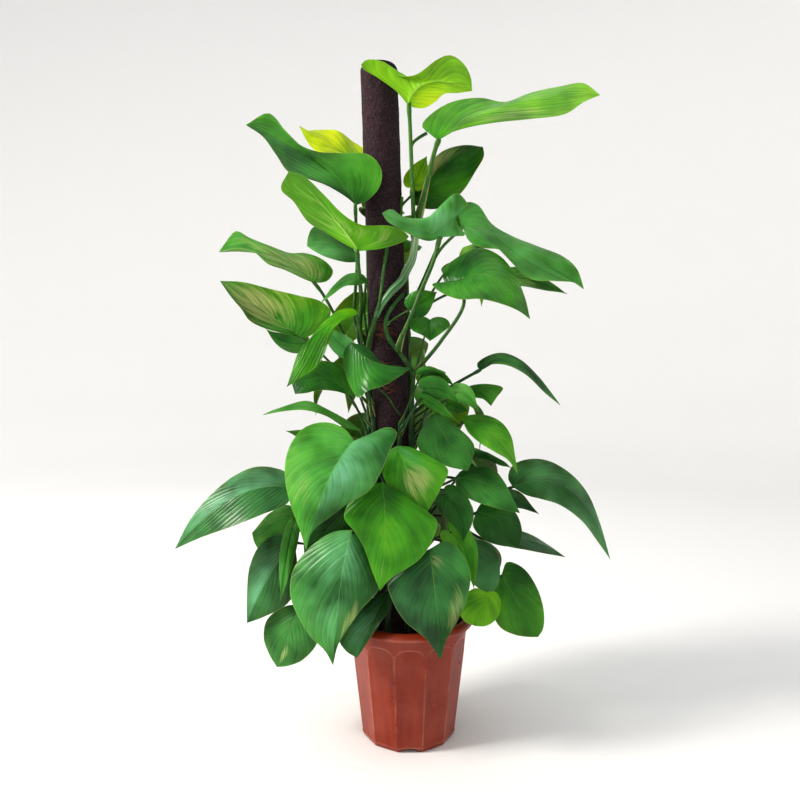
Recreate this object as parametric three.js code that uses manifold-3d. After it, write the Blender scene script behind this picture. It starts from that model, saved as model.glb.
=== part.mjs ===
// Potted golden pothos on a felt-wrapped pole, in millimetres, +Z up.
// The origin is the middle of the underside of the pot; -Y is the front.
import * as THREE from 'three';
import Module from 'manifold-3d';
import { mergeVertices } from 'three/addons/utils/BufferGeometryUtils.js';

// Pot: a moulded nursery pot with twelve flat panels under a round collar
const POT_HEIGHT = 164;
const LIP_RADIUS = 90;
const LIP_INNER_RADIUS = 79;
const LIP_HEIGHT = 9;
const WALL_TOP_RADIUS = 83.5;
const WALL_FOOT_RADIUS = 64.5;
const WALL_THICKNESS = 2.2;
const FLOOR_HEIGHT = 8;
const FOOT_HEIGHT = 6;
const PANEL_COUNT = 12;
const PANEL_TOP = 141;
const PANEL_TURN = THREE.MathUtils.degToRad(1.7);
const NOTCH_COUNT = 4;
const NOTCH_WIDTH = 25;
const NOTCH_HEIGHT = 6;
const DRAIN_RADIUS = 5;
const PAD_RADIUS = 16;

// Soil
const SOIL_TOP = 146;
const CLEARANCE = 0.3;

// Pole: a plastic pipe in a felt sleeve, leaning a little to the left
const POLE_TOP = 923;
const POLE_LEAN = THREE.MathUtils.degToRad(2);
const POLE_X_AT_SOIL = -14;
const SLEEVE_RADIUS = 26;
const SLEEVE_THICKNESS = 3;
const SLEEVE_FOOT = 90;
const PIPE_WALL = 2.5;
const PIPE_FOOT = 12;

// Plant
const STEM_RADIUS = 3.6;
const PETIOLE_RADIUS = 1.9;
const BLADE_THICKNESS = 1;
const ROOT_DEPTH = 45;

// The view the plant's leaves are laid out in: an eye in front of the pot
const EYE_DISTANCE = 900;
const EYE_HEIGHT = 477;
const VIEW_FOCAL = 645;
const VIEW_MIDDLE = 400;
const VIEW_PITCH = 0.017;
const VIEW_YAW = -0.013;

const wasm = await Module();
wasm.setup();

// Solids in and out of the boolean library
function solidOf(geometry) {
  const bare = geometry.index ? geometry.clone() : mergeVertices(geometry.clone());
  bare.deleteAttribute('normal');
  bare.deleteAttribute('uv');
  const merged = mergeVertices(bare, 1e-4);
  return new wasm.Manifold(new wasm.Mesh({
    numProp: 3,
    vertProperties: new Float32Array(merged.attributes.position.array),
    triVerts: new Uint32Array(merged.index.array),
  }));
}

function geometryOf(solid) {
  const mesh = solid.getMesh();
  const geometry = new THREE.BufferGeometry();
  geometry.setAttribute('position', new THREE.BufferAttribute(mesh.vertProperties, 3));
  geometry.setIndex(new THREE.BufferAttribute(mesh.triVerts, 1));
  geometry.computeVertexNormals();
  return geometry;
}

const joined = (solids) => solids.reduce((whole, solid) => whole.add(solid));

// A solid of revolution about +Z from [radius, height] pairs
function turned(profile, segments) {
  const points = profile.map(([radius, height]) => new THREE.Vector2(radius, height));
  return new THREE.LatheGeometry(points, segments).rotateX(Math.PI / 2);
}

function tube(curve, radius, sides, steps) {
  const ring = new THREE.Shape();
  for (let side = 0; side < sides; side += 1) {
    const angle = (2 * Math.PI * side) / sides;
    const x = radius * Math.cos(angle);
    const y = radius * Math.sin(angle);
    if (side === 0) ring.moveTo(x, y);
    else ring.lineTo(x, y);
  }
  ring.closePath();
  return new THREE.ExtrudeGeometry(ring, { extrudePath: curve, steps, bevelEnabled: false });
}

// Pot
function wallRadius(height) {
  return WALL_FOOT_RADIUS + ((WALL_TOP_RADIUS - WALL_FOOT_RADIUS) * height) / POT_HEIGHT;
}

function potSolid() {
  const lipFoot = POT_HEIGHT - LIP_HEIGHT;
  const inner = (height) => wallRadius(height) - WALL_THICKNESS;
  const body = turned([
    [0, 0],
    [PAD_RADIUS, 0],
    [PAD_RADIUS + 3, FLOOR_HEIGHT - 3],
    [WALL_FOOT_RADIUS - 6, FLOOR_HEIGHT - 3],
    [WALL_FOOT_RADIUS - 4, 0],
    [WALL_FOOT_RADIUS - 1, 0],
    [wallRadius(FOOT_HEIGHT) + 0.6, FOOT_HEIGHT],
    [wallRadius(lipFoot), lipFoot],
    [LIP_RADIUS - 1, lipFoot],
    [LIP_RADIUS, lipFoot + 2],
    [LIP_RADIUS - 4, POT_HEIGHT - 2],
    [LIP_INNER_RADIUS + 3, POT_HEIGHT],
    [LIP_INNER_RADIUS, POT_HEIGHT - 1],
    [LIP_INNER_RADIUS, lipFoot],
    [inner(FLOOR_HEIGHT), FLOOR_HEIGHT],
    [0, FLOOR_HEIGHT],
  ], 2 * PANEL_COUNT);
  return joined([solidOf(body)]).subtract(joined([...panelCutters(), ...drainCutters()]));
}

// Each panel is planed flat off the round wall, with an arched top
function panelCutters() {
  const half = Math.PI / PANEL_COUNT;
  const slope = Math.atan((WALL_TOP_RADIUS - WALL_FOOT_RADIUS) / POT_HEIGHT);
  const cutters = [];
  for (let panel = 0; panel < PANEL_COUNT; panel += 1) {
    const top = wallRadius(PANEL_TOP) * Math.sin(half) * 0.97;
    const foot = wallRadius(0) * Math.sin(half) * 0.97;
    const arch = new THREE.Shape();
    arch.moveTo(-foot, -1);
    arch.lineTo(foot, -1);
    arch.lineTo(top, PANEL_TOP - 14);
    arch.bezierCurveTo(top, PANEL_TOP - 3, top * 0.7, PANEL_TOP, 0, PANEL_TOP);
    arch.bezierCurveTo(-top * 0.7, PANEL_TOP, -top, PANEL_TOP - 3, -top, PANEL_TOP - 14);
    arch.closePath();
    const cutter = new THREE.ExtrudeGeometry(arch, { depth: 12, bevelEnabled: false, curveSegments: 3 });
    cutter.rotateX(Math.PI / 2);
    cutter.translate(0, -WALL_FOOT_RADIUS * Math.cos(half), 0);
    cutter.rotateX(slope);
    cutter.rotateZ(PANEL_TURN + panel * 2 * half);
    cutters.push(solidOf(cutter));
  }
  return cutters;
}

// Arched notches in the foot ring, and holes through the floor behind them
function drainCutters() {
  const cutters = [];
  for (let drain = 0; drain < NOTCH_COUNT; drain += 1) {
    const turn = PANEL_TURN + (drain * 2 * Math.PI) / NOTCH_COUNT;
    const notch = new THREE.CylinderGeometry(1, 1, 20, 8);
    notch.scale(NOTCH_WIDTH / 2, 1, NOTCH_HEIGHT);
    notch.translate(0, -WALL_FOOT_RADIUS, 0);
    notch.rotateZ(turn);
    cutters.push(solidOf(notch));
    const hole = new THREE.CylinderGeometry(DRAIN_RADIUS, DRAIN_RADIUS, 3 * FLOOR_HEIGHT, 8);
    hole.rotateX(Math.PI / 2);
    hole.translate(0, -WALL_FOOT_RADIUS * 0.66, 0);
    hole.rotateZ(turn);
    cutters.push(solidOf(hole));
  }
  return cutters;
}

// Pole: both pieces are turned on the leaning axis
const poleAxis = (height) => {
  const x = POLE_X_AT_SOIL - Math.tan(POLE_LEAN) * (height - SOIL_TOP);
  return new THREE.Vector3(x, 0, height);
};

function leaned(geometry) {
  geometry.translate(0, 0, -SOIL_TOP);
  geometry.rotateY(-POLE_LEAN);
  geometry.translate(POLE_X_AT_SOIL, 0, SOIL_TOP);
  return geometry;
}

function sleeveGeometry() {
  const inner = SLEEVE_RADIUS - SLEEVE_THICKNESS;
  return leaned(turned([
    [inner, SLEEVE_FOOT],
    [SLEEVE_RADIUS, SLEEVE_FOOT],
    [SLEEVE_RADIUS, POLE_TOP - 5],
    [SLEEVE_RADIUS - 2, POLE_TOP - 1],
    [SLEEVE_RADIUS - 6, POLE_TOP],
    [0, POLE_TOP],
    [0, POLE_TOP - SLEEVE_THICKNESS],
    [inner, POLE_TOP - SLEEVE_THICKNESS],
    [inner, SLEEVE_FOOT],
  ], 20));
}

function pipeGeometry() {
  const outer = SLEEVE_RADIUS - SLEEVE_THICKNESS - CLEARANCE;
  const top = POLE_TOP - SLEEVE_THICKNESS - CLEARANCE;
  return leaned(turned([
    [outer - PIPE_WALL, PIPE_FOOT],
    [outer, PIPE_FOOT],
    [outer, top],
    [outer - PIPE_WALL, top],
    [outer - PIPE_WALL, PIPE_FOOT],
  ], 16));
}

// A point seen at (across, down) in the view, standing "out" in front of the pole
function seen(across, down, out) {
  const cosPitch = Math.cos(VIEW_PITCH);
  const ahead = new THREE.Vector3(
    Math.sin(VIEW_YAW) * cosPitch,
    Math.cos(VIEW_YAW) * cosPitch,
    -Math.sin(VIEW_PITCH),
  );
  const right = new THREE.Vector3(Math.cos(VIEW_YAW), -Math.sin(VIEW_YAW), 0);
  const over = new THREE.Vector3().crossVectors(right, ahead);
  const ray = ahead.clone();
  ray.addScaledVector(right, (across - VIEW_MIDDLE) / VIEW_FOCAL);
  ray.addScaledVector(over, (VIEW_MIDDLE - down) / VIEW_FOCAL);
  const reach = (EYE_DISTANCE - out) / ray.y;
  return eyeAt(0).addScaledVector(ray, reach);
}

// Bearings round the pot: 0 is the front, 90 the right, 180 the back
function around(bearing, radius, height) {
  const angle = THREE.MathUtils.degToRad(bearing);
  return new THREE.Vector3(radius * Math.sin(angle), -radius * Math.cos(angle), height);
}

const eyeAt = (bearing) => around(bearing, EYE_DISTANCE, EYE_HEIGHT);

// Stems stand in the soil round the pole, lean in and climb it. The route holds
// [bearing on the pole, height, distance out from the felt]
const STEM_FOOT = [[175, 24], [215, 10], [260, 3], [320, 1]];

function stemCurve({ bearing, route }) {
  const points = [SOIL_TOP - ROOT_DEPTH, SOIL_TOP - 15].map((height) => (
    around(bearing, SLEEVE_RADIUS + STEM_FOOT[0][1], 0).add(poleAxis(SOIL_TOP)).setZ(height)));
  const climb = STEM_FOOT.map(([height, off]) => [bearing, height, off]);
  [...climb, ...route].forEach(([turn, height, off = 1]) => {
    const radius = SLEEVE_RADIUS + (height > STEM_FOOT[0][0] ? STEM_RADIUS : 0) + off;
    const foot = height > STEM_FOOT[0][0] ? height : SOIL_TOP;
    points.push(around(turn, radius, 0).add(poleAxis(foot)).setZ(height));
  });
  return new THREE.CatmullRomCurve3(points, false, 'centripetal');
}

function pointAtHeight(curve, height) {
  const samples = curve.getPoints(200);
  return samples.reduce((best, point) => (
    Math.abs(point.z - height) < Math.abs(best.z - height) ? point : best));
}

// Blade outline on one side of the midrib, from the sinus to the tip: x is a
// share of the half width and y a share of the length
const LOBE = new THREE.CubicBezierCurve(
  new THREE.Vector2(0, 0), new THREE.Vector2(0.25, -0.2),
  new THREE.Vector2(1, -0.14), new THREE.Vector2(1, 0.24),
);
const FLANK = new THREE.CubicBezierCurve(
  new THREE.Vector2(1, 0.24), new THREE.Vector2(1, 0.58),
  new THREE.Vector2(0.2, 0.82), new THREE.Vector2(0, 1),
);
const LOBE_SHARE = 0.35;

const marginPoint = (share) => (share < LOBE_SHARE
  ? LOBE.getPoint(share / LOBE_SHARE)
  : FLANK.getPoint((share - LOBE_SHARE) / (1 - LOBE_SHARE)));

const LEAF_DEFAULTS = {
  roll: 0, twist: 0, fold: 12, curl: -4, skew: 0, wave: 2, sweep: 2, dish: 0.12, width: 0,
};

// The leaf's midrib and its frame: side, along and face
function leafFrame(leaf) {
  const { base, mid, tip } = leaf;
  const control = mid.clone().multiplyScalar(2).addScaledVector(base, -0.5).addScaledVector(tip, -0.5);
  const midrib = new THREE.QuadraticBezierCurve3(base, control, tip);
  const length = base.distanceTo(tip);
  const toEye = eyeAt(leaf.bearing ?? 0).sub(mid).normalize();
  return (share) => {
    const inside = THREE.MathUtils.clamp(share, 0, 1);
    const along = midrib.getTangent(inside);
    const point = midrib.getPoint(inside).addScaledVector(along, (share - inside) * length);
    const face = toEye.clone().addScaledVector(along, -toEye.dot(along)).normalize();
    const turn = THREE.MathUtils.degToRad(leaf.roll + leaf.twist * inside);
    face.applyAxisAngle(along, -turn);
    const side = new THREE.Vector3().crossVectors(along, face);
    return { point, along, face, side };
  };
}

// A leaf drawn with its own margins takes them from the sinus to the tip
function drawnMargin(leaf, points) {
  return new THREE.CatmullRomCurve3([leaf.base, ...points, leaf.tip], false, 'centripetal');
}

// A point of the blade: flank is -1 or 1, row goes from sinus to tip and out
// from the midrib to the margin
function bladePoint(leaf, frameAt, flank, row, out) {
  const fold = THREE.MathUtils.degToRad(leaf.fold);
  const ripple = leaf.wave * out ** 2 * Math.sin(9 * row + 2.1 * flank + leaf.width);
  const rib = row ** leaf.sweep;
  if (leaf.left) {
    const curve = flank < 0 ? leaf.left : leaf.right;
    const edge = curve.getPointAt(row);
    const { point, face } = frameAt(rib);
    const reach = point.distanceTo(edge);
    const rise = Math.sin(Math.PI * row) * ripple - leaf.dish * reach * out * (1 - out);
    return point.lerp(edge, out).addScaledVector(face, rise);
  }
  const margin = marginPoint(row);
  const share = rib + (margin.y - rib) * out ** 1.3;
  const half = (leaf.width / 2) * (1 + flank * leaf.skew);
  const x = margin.x * half * out;
  const { point, face, side } = frameAt(share);
  const rise = Math.sin(fold) * x + leaf.curl * (x / half) ** 2 + ripple * Math.sin(Math.PI * row);
  return point.addScaledVector(side, flank * x * Math.cos(fold)).addScaledVector(face, rise);
}

function bladeGeometry(leaf) {
  const frameAt = leafFrame(leaf);
  const length = leaf.base.distanceTo(leaf.tip);
  const rows = length > 85 ? 5 : 4;
  const columns = length > 50 ? 2 : 1;
  const surface = [];
  const vertex = {};
  const key = (flank, row, column) => {
    if (row === 0 || row === rows) return `end ${row}`;
    return column === 0 ? `rib ${row}` : `${flank} ${row} ${column}`;
  };
  [-1, 1].forEach((flank) => {
    for (let row = 0; row <= rows; row += 1) {
      for (let column = 0; column <= columns; column += 1) {
        const name = key(flank, row, column);
        if (!(name in vertex)) {
          vertex[name] = surface.length;
          surface.push(bladePoint(leaf, frameAt, flank, row / rows, column / columns));
        }
      }
    }
  });
  const faces = [];
  const margin = [];
  const addFace = (a, b, c, flank) => {
    if (a === b || b === c || a === c) return;
    faces.push(flank > 0 ? [a, b, c] : [a, c, b]);
  };
  [-1, 1].forEach((flank) => {
    for (let row = 0; row < rows; row += 1) {
      for (let column = 0; column < columns; column += 1) {
        const near = vertex[key(flank, row, column)];
        const far = vertex[key(flank, row, column + 1)];
        const farNext = vertex[key(flank, row + 1, column + 1)];
        const nearNext = vertex[key(flank, row + 1, column)];
        addFace(near, far, farNext, flank);
        addFace(near, farNext, nearNext, flank);
      }
      const edge = [vertex[key(flank, row, columns)], vertex[key(flank, row + 1, columns)]];
      margin.push(flank > 0 ? edge : edge.reverse());
    }
  });
  return thickened(surface, faces, margin);
}

// Two faces with the same triangles, set apart along the surface normals
function thickened(surface, faces, margin) {
  const sheet = new THREE.BufferGeometry().setFromPoints(surface);
  sheet.setIndex(faces.flat());
  sheet.computeVertexNormals();
  const normal = new THREE.Vector3();
  const points = [];
  [0.5, -0.5].forEach((share) => {
    surface.forEach((point, index) => {
      normal.fromBufferAttribute(sheet.attributes.normal, index);
      points.push(point.clone().addScaledVector(normal, share * BLADE_THICKNESS));
    });
  });
  const count = surface.length;
  const index = faces.flat();
  faces.forEach(([a, b, c]) => index.push(a + count, c + count, b + count));
  margin.forEach(([a, b]) => index.push(a, a + count, b + count, a, b + count, b));
  const geometry = new THREE.BufferGeometry().setFromPoints(points);
  geometry.setIndex(index);
  return geometry;
}

// Petiole: up and out from the stem, then into the underside of the blade
function petioleCurve(leaf, stem) {
  const start = pointAtHeight(stem, leaf.at);
  const end = leaf.base.clone().addScaledVector(leafFrame(leaf)(0).along, 3);
  if (leaf.via) return new THREE.CatmullRomCurve3([start, ...leaf.via, end]);
  const away = end.clone().sub(start);
  const rise = new THREE.Vector3(0, 0, away.length());
  const outward = away.clone().setZ(0);
  return new THREE.CubicBezierCurve3(
    start,
    start.clone().addScaledVector(outward, 0.4).addScaledVector(rise, 0.28),
    end.clone().addScaledVector(outward, -0.35).addScaledVector(rise, -0.16),
    end,
  );
}

function petioleGeometry(leaf, stem) {
  const curve = petioleCurve(leaf, stem);
  const slim = leaf.base.distanceTo(leaf.tip) < 60;
  return tube(curve, leaf.thick ?? (slim ? 1.4 : PETIOLE_RADIUS), 3, curve.getLength() > 70 ? 4 : 3);
}

// A leaf as it is seen: base, middle of the midrib and tip, then its margins
function drawn(at, base, mid, tip, left, right, more = {}) {
  const leaf = { at, base: seen(...base), mid: seen(...mid), tip: seen(...tip), ...more };
  leaf.left = drawnMargin(leaf, left.map((point) => seen(...point)));
  leaf.right = drawnMargin(leaf, right.map((point) => seen(...point)));
  return leaf;
}

// A plain leaf, by its midrib as seen, its width and the roll of its upper face
function plain(at, base, mid, tip, width, roll = 0, more = {}) {
  return { at, base: seen(...base), mid: seen(...mid), tip: seen(...tip), width, roll, ...more };
}

// A leaf of the unseen side: it stands out at a bearing and hangs to its tip
function behind(at, bearing, reach, height, tipReach, tipHeight, width) {
  return {
    at,
    bearing,
    base: around(bearing, reach, height),
    mid: around(bearing + 2, (reach + tipReach) / 2 + 12, (height + tipHeight) / 2 + 16),
    tip: around(bearing + 4, tipReach, tipHeight),
    width,
  };
}

// Leafy stems
const vines = {
  // Climbs the left side, crosses the front and goes up on the right
  vine_01: {
    bearing: -66,
    route: [[-78, 400], [-80, 490], [-64, 530, 2], [-36, 560, 4], [-16, 585, 6], [8, 605, 8],
      [34, 622, 8], [52, 636, 5], [72, 654, 8], [82, 690, 13], [84, 712, 16]],
    leaves: [
      drawn(686, [408, 105, 40], [430, 82, 55], [472, 91, 70],
        [[412, 107, 40], [424, 108, 42], [435, 102, 48], [444, 94, 54], [458, 93, 62]],
        [[396, 91, 42], [378, 78, 42], [361, 66, 42], [366, 60, 44], [384, 62, 46], [397, 75, 50],
          [415, 75, 60], [436, 60, 75], [450, 55, 82], [464, 64, 82], [471, 78, 76]],
        { thick: 3, roll: 180, sweep: 1.3 }),
      drawn(708, [438, 140, 20], [505, 106, 30], [600, 95, 25],
        [[430, 134, 18], [422, 126, 12], [430, 115, 4], [452, 102, -2], [480, 98, -4], [505, 102, 0],
          [530, 93, 5], [562, 86, 8], [583, 83, 15]],
        [[449, 134, 26], [465, 124, 34], [495, 122, 45], [530, 119, 50], [565, 114, 45], [584, 102, 35]],
        { thick: 3.6 }),
      plain(684, [413, 186, -2], [419, 172, -4], [427, 156, -8], 34, 10),
      drawn(664, [413, 204, -16], [445, 176, -22], [483, 147, -26],
        [[410, 190, -24], [424, 170, -30], [443, 151, -34], [464, 145, -32]],
        [[428, 209, -12], [446, 206, -12], [462, 192, -15], [475, 172, -19], [484, 156, -23]]),
    ],
  },
  // Winds up the front of the pole from the right
  vine_02: {
    bearing: 44,
    route: [[54, 400, 2], [60, 470, 5], [60, 498, 7], [34, 520, 5], [4, 544, 2], [-4, 560, 2],
      [2, 577, 2], [22, 593, 2], [48, 606, 2]],
    leaves: [
      drawn(528, [442, 237, 62], [418, 228, 72], [382, 213, 78],
        [[430, 241, 62], [415, 237, 68], [398, 228, 72], [387, 221, 76]],
        [[455, 236, 60], [466, 235, 58], [457, 224, 52], [458, 213, 48], [468, 206, 45], [457, 193, 44],
          [442, 204, 50], [428, 217, 58], [404, 217, 66], [391, 209, 74]],
        {
          thick: 3.1,
          sweep: 1.5,
          via: [seen(402, 337, 43), seen(411, 316, 49), seen(421, 291, 52), seen(433, 262, 58)],
        }),
      drawn(497, [457, 284, 62], [492, 277, 78], [530, 319, 90],
        [[446, 284, 56], [443, 271, 48], [458, 257, 38], [480, 248, 34], [500, 256, 40], [515, 275, 55],
          [525, 298, 74]],
        [[445, 283, 66], [432, 284, 70], [440, 292, 80], [458, 299, 92], [481, 299, 102],
          [505, 305, 104], [519, 311, 100]],
        { thick: 2.6, sweep: 1.6, via: [seen(441, 341, 45), seen(464, 303, 62)] }),
      plain(562, [412, 309, 45], [424, 300, 45], [437, 292, 40], 36),
      plain(492, [430, 320, 20], [430, 331, 34], [430, 341, 48], 55),
    ],
  },
  // Left side
  vine_03: {
    bearing: -120,
    route: [[-120, 400], [-118, 500], [-116, 545]],
    leaves: [
      drawn(541, [356, 205, 46], [318, 163, 40], [246, 125, 20],
        [[340, 192, 50], [315, 180, 56], [290, 173, 56], [276, 155, 44], [262, 136, 30]],
        [[368, 200, 42], [380, 186, 36], [381, 168, 30], [368, 154, 28], [340, 153, 30],
          [318, 152, 34], [300, 145, 34], [285, 130, 24], [268, 113, 14]],
        { thick: 2.4, via: [seen(356, 325, -2), seen(357, 262, 26)] }),
      drawn(537, [366, 168, -42], [333, 146, -50], [299, 126, -58],
        [[355, 172, -38], [330, 159, -40], [311, 147, -48]],
        [[367, 152, -50], [352, 141, -58], [338, 131, -62], [318, 130, -62], [305, 130, -60]]),
      drawn(528, [358, 251, 58], [326, 208, 62], [289, 171, 66],
        [[385, 248, 58], [409, 237, 60], [392, 226, 66], [362, 225, 72], [345, 216, 76], [323, 194, 80],
          [305, 177, 76]],
        [[341, 242, 54], [325, 232, 50], [308, 222, 46], [293, 201, 48], [281, 189, 54]],
        { thick: 2.9, roll: 180, via: [seen(359, 340, 2), seen(361, 300, 26)] }),
      drawn(532, [358, 262, 0], [334, 247, -2], [307, 246, -6],
        [[345, 262, 10], [326, 257, 12], [314, 251, 6]],
        [[352, 246, -12], [332, 232, -22], [314, 227, -22], [308, 237, -14]]),
      drawn(480, [314, 283, 22], [275, 257, 28], [219, 252, 30],
        [[302, 278, 36], [285, 270, 44], [268, 264, 48], [254, 252, 46], [238, 248, 40]],
        [[327, 281, 14], [333, 271, 4], [322, 259, -2], [305, 253, 2], [290, 253, 10], [270, 246, 18],
          [250, 238, 18], [236, 231, 16], [228, 239, 22]], { thick: 2.5 }),
      drawn(524, [368, 281, 36], [345, 280, 42], [321, 303, 48],
        [[360, 285, 46], [345, 286, 54], [332, 295, 56]],
        [[362, 274, 32], [348, 274, 32], [334, 285, 36]],
        { via: [seen(361, 330, 0), seen(364, 302, 20)] }),
      behind(182, 281, 90, 263, 132, 169, 72),
      behind(287, 262, 80, 381, 129, 291, 76),
      behind(418, 262, 85, 507, 131, 440, 53),
    ],
  },
  // Left of the front, half way up
  vine_04: {
    bearing: -40,
    route: [[-50, 400], [-54, 460]],
    leaves: [
      drawn(450, [303, 339, 30], [262, 310, 40], [220, 281, 40],
        [[290, 335, 40], [264, 328, 52], [249, 320, 56], [242, 310, 54], [231, 297, 48]],
        [[318, 331, 22], [331, 312, 12], [320, 301, 6], [300, 296, 6], [270, 289, 14], [242, 282, 28]]),
      plain(420, [305, 343, 14], [285, 341, 14], [266, 329, 10], 28),
      drawn(440, [358, 314, 48], [317, 334, 70], [287, 387, 88],
        [[350, 318, 54], [337, 323, 62], [327, 336, 72], [325, 352, 78], [317, 366, 82],
          [300, 378, 86]],
        [[354, 309, 46], [340, 310, 50], [325, 321, 58], [311, 337, 68], [298, 353, 76],
          [292, 371, 82]], { thick: 2.2 }),
      drawn(400, [350, 397, 45], [320, 377, 62], [295, 394, 72],
        [[345, 394, 52], [335, 391, 62], [320, 390, 72], [306, 393, 76]],
        [[352, 385, 40], [346, 372, 38], [335, 363, 40], [320, 361, 46], [302, 367, 56],
          [292, 379, 66]], { sweep: 1.6 }),
      drawn(456, [351, 343, 62], [374, 362, 78], [411, 368, 84],
        [[362, 345, 60], [372, 352, 62], [382, 363, 70], [398, 366, 78]],
        [[344, 351, 62], [345, 372, 68], [351, 388, 76], [359, 398, 82], [368, 391, 88], [385, 385, 90],
          [400, 376, 88]], { sweep: 1.5 }),
      plain(446, [352, 352, 28], [336, 340, 20], [322, 322, 14], 30, 10),
      drawn(374, [361, 431, 30], [312, 406, 38], [263, 415, 42],
        [[346, 428, 34], [326, 416, 40], [304, 410, 46], [285, 411, 46]],
        [[350, 422, 24], [330, 411, 24], [308, 401, 28], [288, 405, 34]]),
    ],
  },
  // Low on the left
  vine_05: {
    bearing: -90,
    route: [[-94, 370]],
    leaves: [
      drawn(330, [290, 488, 22], [235, 497, 38], [175, 549, 34],
        [[288, 503, 40], [263, 514, 54], [233, 526, 56], [200, 538, 46]],
        [[291, 476, 10], [275, 468, 0], [255, 467, -2], [234, 476, 4], [210, 496, 16], [190, 520, 28]]),
      drawn(296, [298, 512, -6], [275, 522, -2], [252, 533, 0],
        [[297, 526, 0], [284, 536, 6], [262, 552, 8], [255, 544, 4]],
        [[288, 505, -14], [270, 513, -12]]),
      drawn(270, [294, 540, 18], [268, 578, 22], [247, 623, 26],
        [[297, 562, 22], [297, 588, 28], [285, 606, 32], [264, 617, 30]],
        [[278, 534, 10], [260, 545, 8], [250, 566, 10], [247, 597, 18]]),
      plain(300, [293, 527, 40], [286, 562, 46], [281, 602, 50], 22),
      drawn(232, [300, 605, 26], [288, 636, 32], [277, 667, 36],
        [[313, 614, 32], [318, 640, 40], [303, 660, 42], [288, 666, 40]],
        [[286, 606, 22], [267, 620, 18], [264, 638, 22], [270, 656, 30]]),
    ],
  },
  // Front, a little left of the middle
  vine_06: {
    bearing: -14,
    route: [[-20, 390]],
    leaves: [
      drawn(350, [354, 441, 96], [327, 484, 118], [306, 550, 128],
        [[370, 434, 92], [388, 427, 88], [397, 432, 90], [390, 450, 98], [381, 472, 104],
          [369, 491, 108], [350, 502, 114], [330, 517, 120], [313, 531, 126]],
        [[345, 429, 92], [325, 422, 90], [305, 427, 92], [293, 440, 96], [286, 458, 102],
          [285, 478, 108], [290, 503, 116], [299, 528, 124]], { thick: 2.4, sweep: 1.7 }),
      drawn(310, [382, 482, 84], [385, 534, 102], [380, 591, 108],
        [[396, 490, 82], [412, 501, 82], [430, 514, 84], [437, 522, 88], [433, 538, 92],
          [421, 558, 98], [403, 571, 104], [390, 579, 108]],
        [[368, 487, 80], [352, 498, 80], [344, 517, 84], [354, 531, 90], [364, 548, 96],
          [372, 571, 104]], { thick: 2.4, sweep: 1.7 }),
      drawn(250, [352, 530, 74], [340, 590, 98], [333, 665, 104],
        [[363, 540, 72], [373, 560, 76], [379, 588, 84], [371, 599, 90], [361, 610, 94],
          [349, 627, 98], [338, 645, 102]],
        [[333, 532, 70], [310, 547, 72], [294, 568, 76], [290, 592, 84], [297, 614, 92],
          [311, 637, 98], [325, 651, 103]], { thick: 2.4, sweep: 1.8 }),
      drawn(290, [352, 506, 56], [330, 526, 60], [304, 556, 62],
        [[356, 520, 54], [350, 540, 56], [330, 552, 60]],
        [[340, 500, 58], [320, 508, 62], [305, 528, 64]]),
      drawn(206, [388, 592, 60], [374, 620, 84], [357, 658, 96],
        [[392, 601, 64], [387, 613, 78], [376, 629, 90], [365, 646, 96]],
        [[374, 597, 62], [354, 614, 72], [339, 638, 84], [346, 651, 92]]),
      drawn(364, [397, 446, 64], [410, 478, 70], [427, 513, 72],
        [[410, 447, 62], [430, 457, 62], [448, 470, 64], [440, 490, 68]],
        [[388, 452, 64], [382, 470, 66], [391, 490, 70], [408, 504, 72]]),
      plain(322, [330, 443, 66], [308, 436, 74], [286, 431, 78], 20),
    ],
  },
  // Front, a little right of the middle
  vine_07: {
    bearing: 14,
    route: [[20, 400], [24, 432]],
    leaves: [
      drawn(240, [430, 549, 82], [436, 602, 104], [441, 660, 108],
        [[446, 541, 80], [460, 551, 80], [470, 572, 86], [468, 595, 94], [458, 620, 102],
          [446, 641, 107]],
        [[415, 556, 80], [399, 569, 82], [388, 583, 86], [392, 600, 92], [405, 621, 100],
          [426, 639, 106]], { thick: 2.4, sweep: 1.8 }),
      plain(252, [450, 531, 46], [466, 553, 48], [474, 589, 54], 40, -10),
      drawn(352, [432, 414, 48], [447, 440, 54], [468, 471, 60],
        [[441, 415, 48], [456, 426, 50], [474, 445, 54], [472, 460, 58]],
        [[424, 424, 46], [417, 443, 48], [425, 457, 52], [446, 466, 58]]),
      plain(290, [445, 495, 50], [460, 516, 56], [463, 542, 60], 42),
      plain(422, [421, 398, 50], [437, 407, 54], [462, 425, 57], 20, -40),
      plain(430, [421, 375, 45], [438, 375, 48], [454, 386, 50], 24, -40),
      plain(412, [424, 389, 54], [441, 390, 58], [459, 402, 60], 34, -20),
    ],
  },
  // Right, half way up
  vine_08: {
    bearing: 70,
    route: [[76, 400], [78, 440]],
    leaves: [
      drawn(370, [463, 421, 40], [495, 438, 52], [518, 474, 62],
        [[466, 416, 34], [485, 415, 30], [501, 422, 34], [511, 436, 44], [515, 456, 54]],
        [[468, 432, 50], [480, 443, 58], [495, 452, 64], [508, 460, 66]]),
      drawn(320, [455, 478, 32], [488, 486, 44], [520, 513, 52],
        [[461, 471, 26], [478, 467, 24], [493, 469, 28], [505, 483, 38], [513, 499, 46]],
        [[458, 491, 42], [474, 501, 50], [493, 507, 54], [509, 511, 55]]),
      plain(352, [476, 455, 4], [495, 460, 6], [511, 468, 6], 18, -50),
      plain(412, [447, 404, 26], [457, 407, 28], [468, 411, 28], 24, -20),
      plain(424, [455, 393, 42], [467, 397, 46], [479, 413, 46], 28, -20),
      drawn(434, [464, 391, 2], [482, 393, 4], [491, 406, 6],
        [[470, 386, -2], [488, 384, -2], [503, 388, 0], [497, 397, 4]],
        [[472, 397, 6], [483, 399, 8]]),
      drawn(290, [476, 512, 6], [500, 522, 12], [519, 547, 14],
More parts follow.
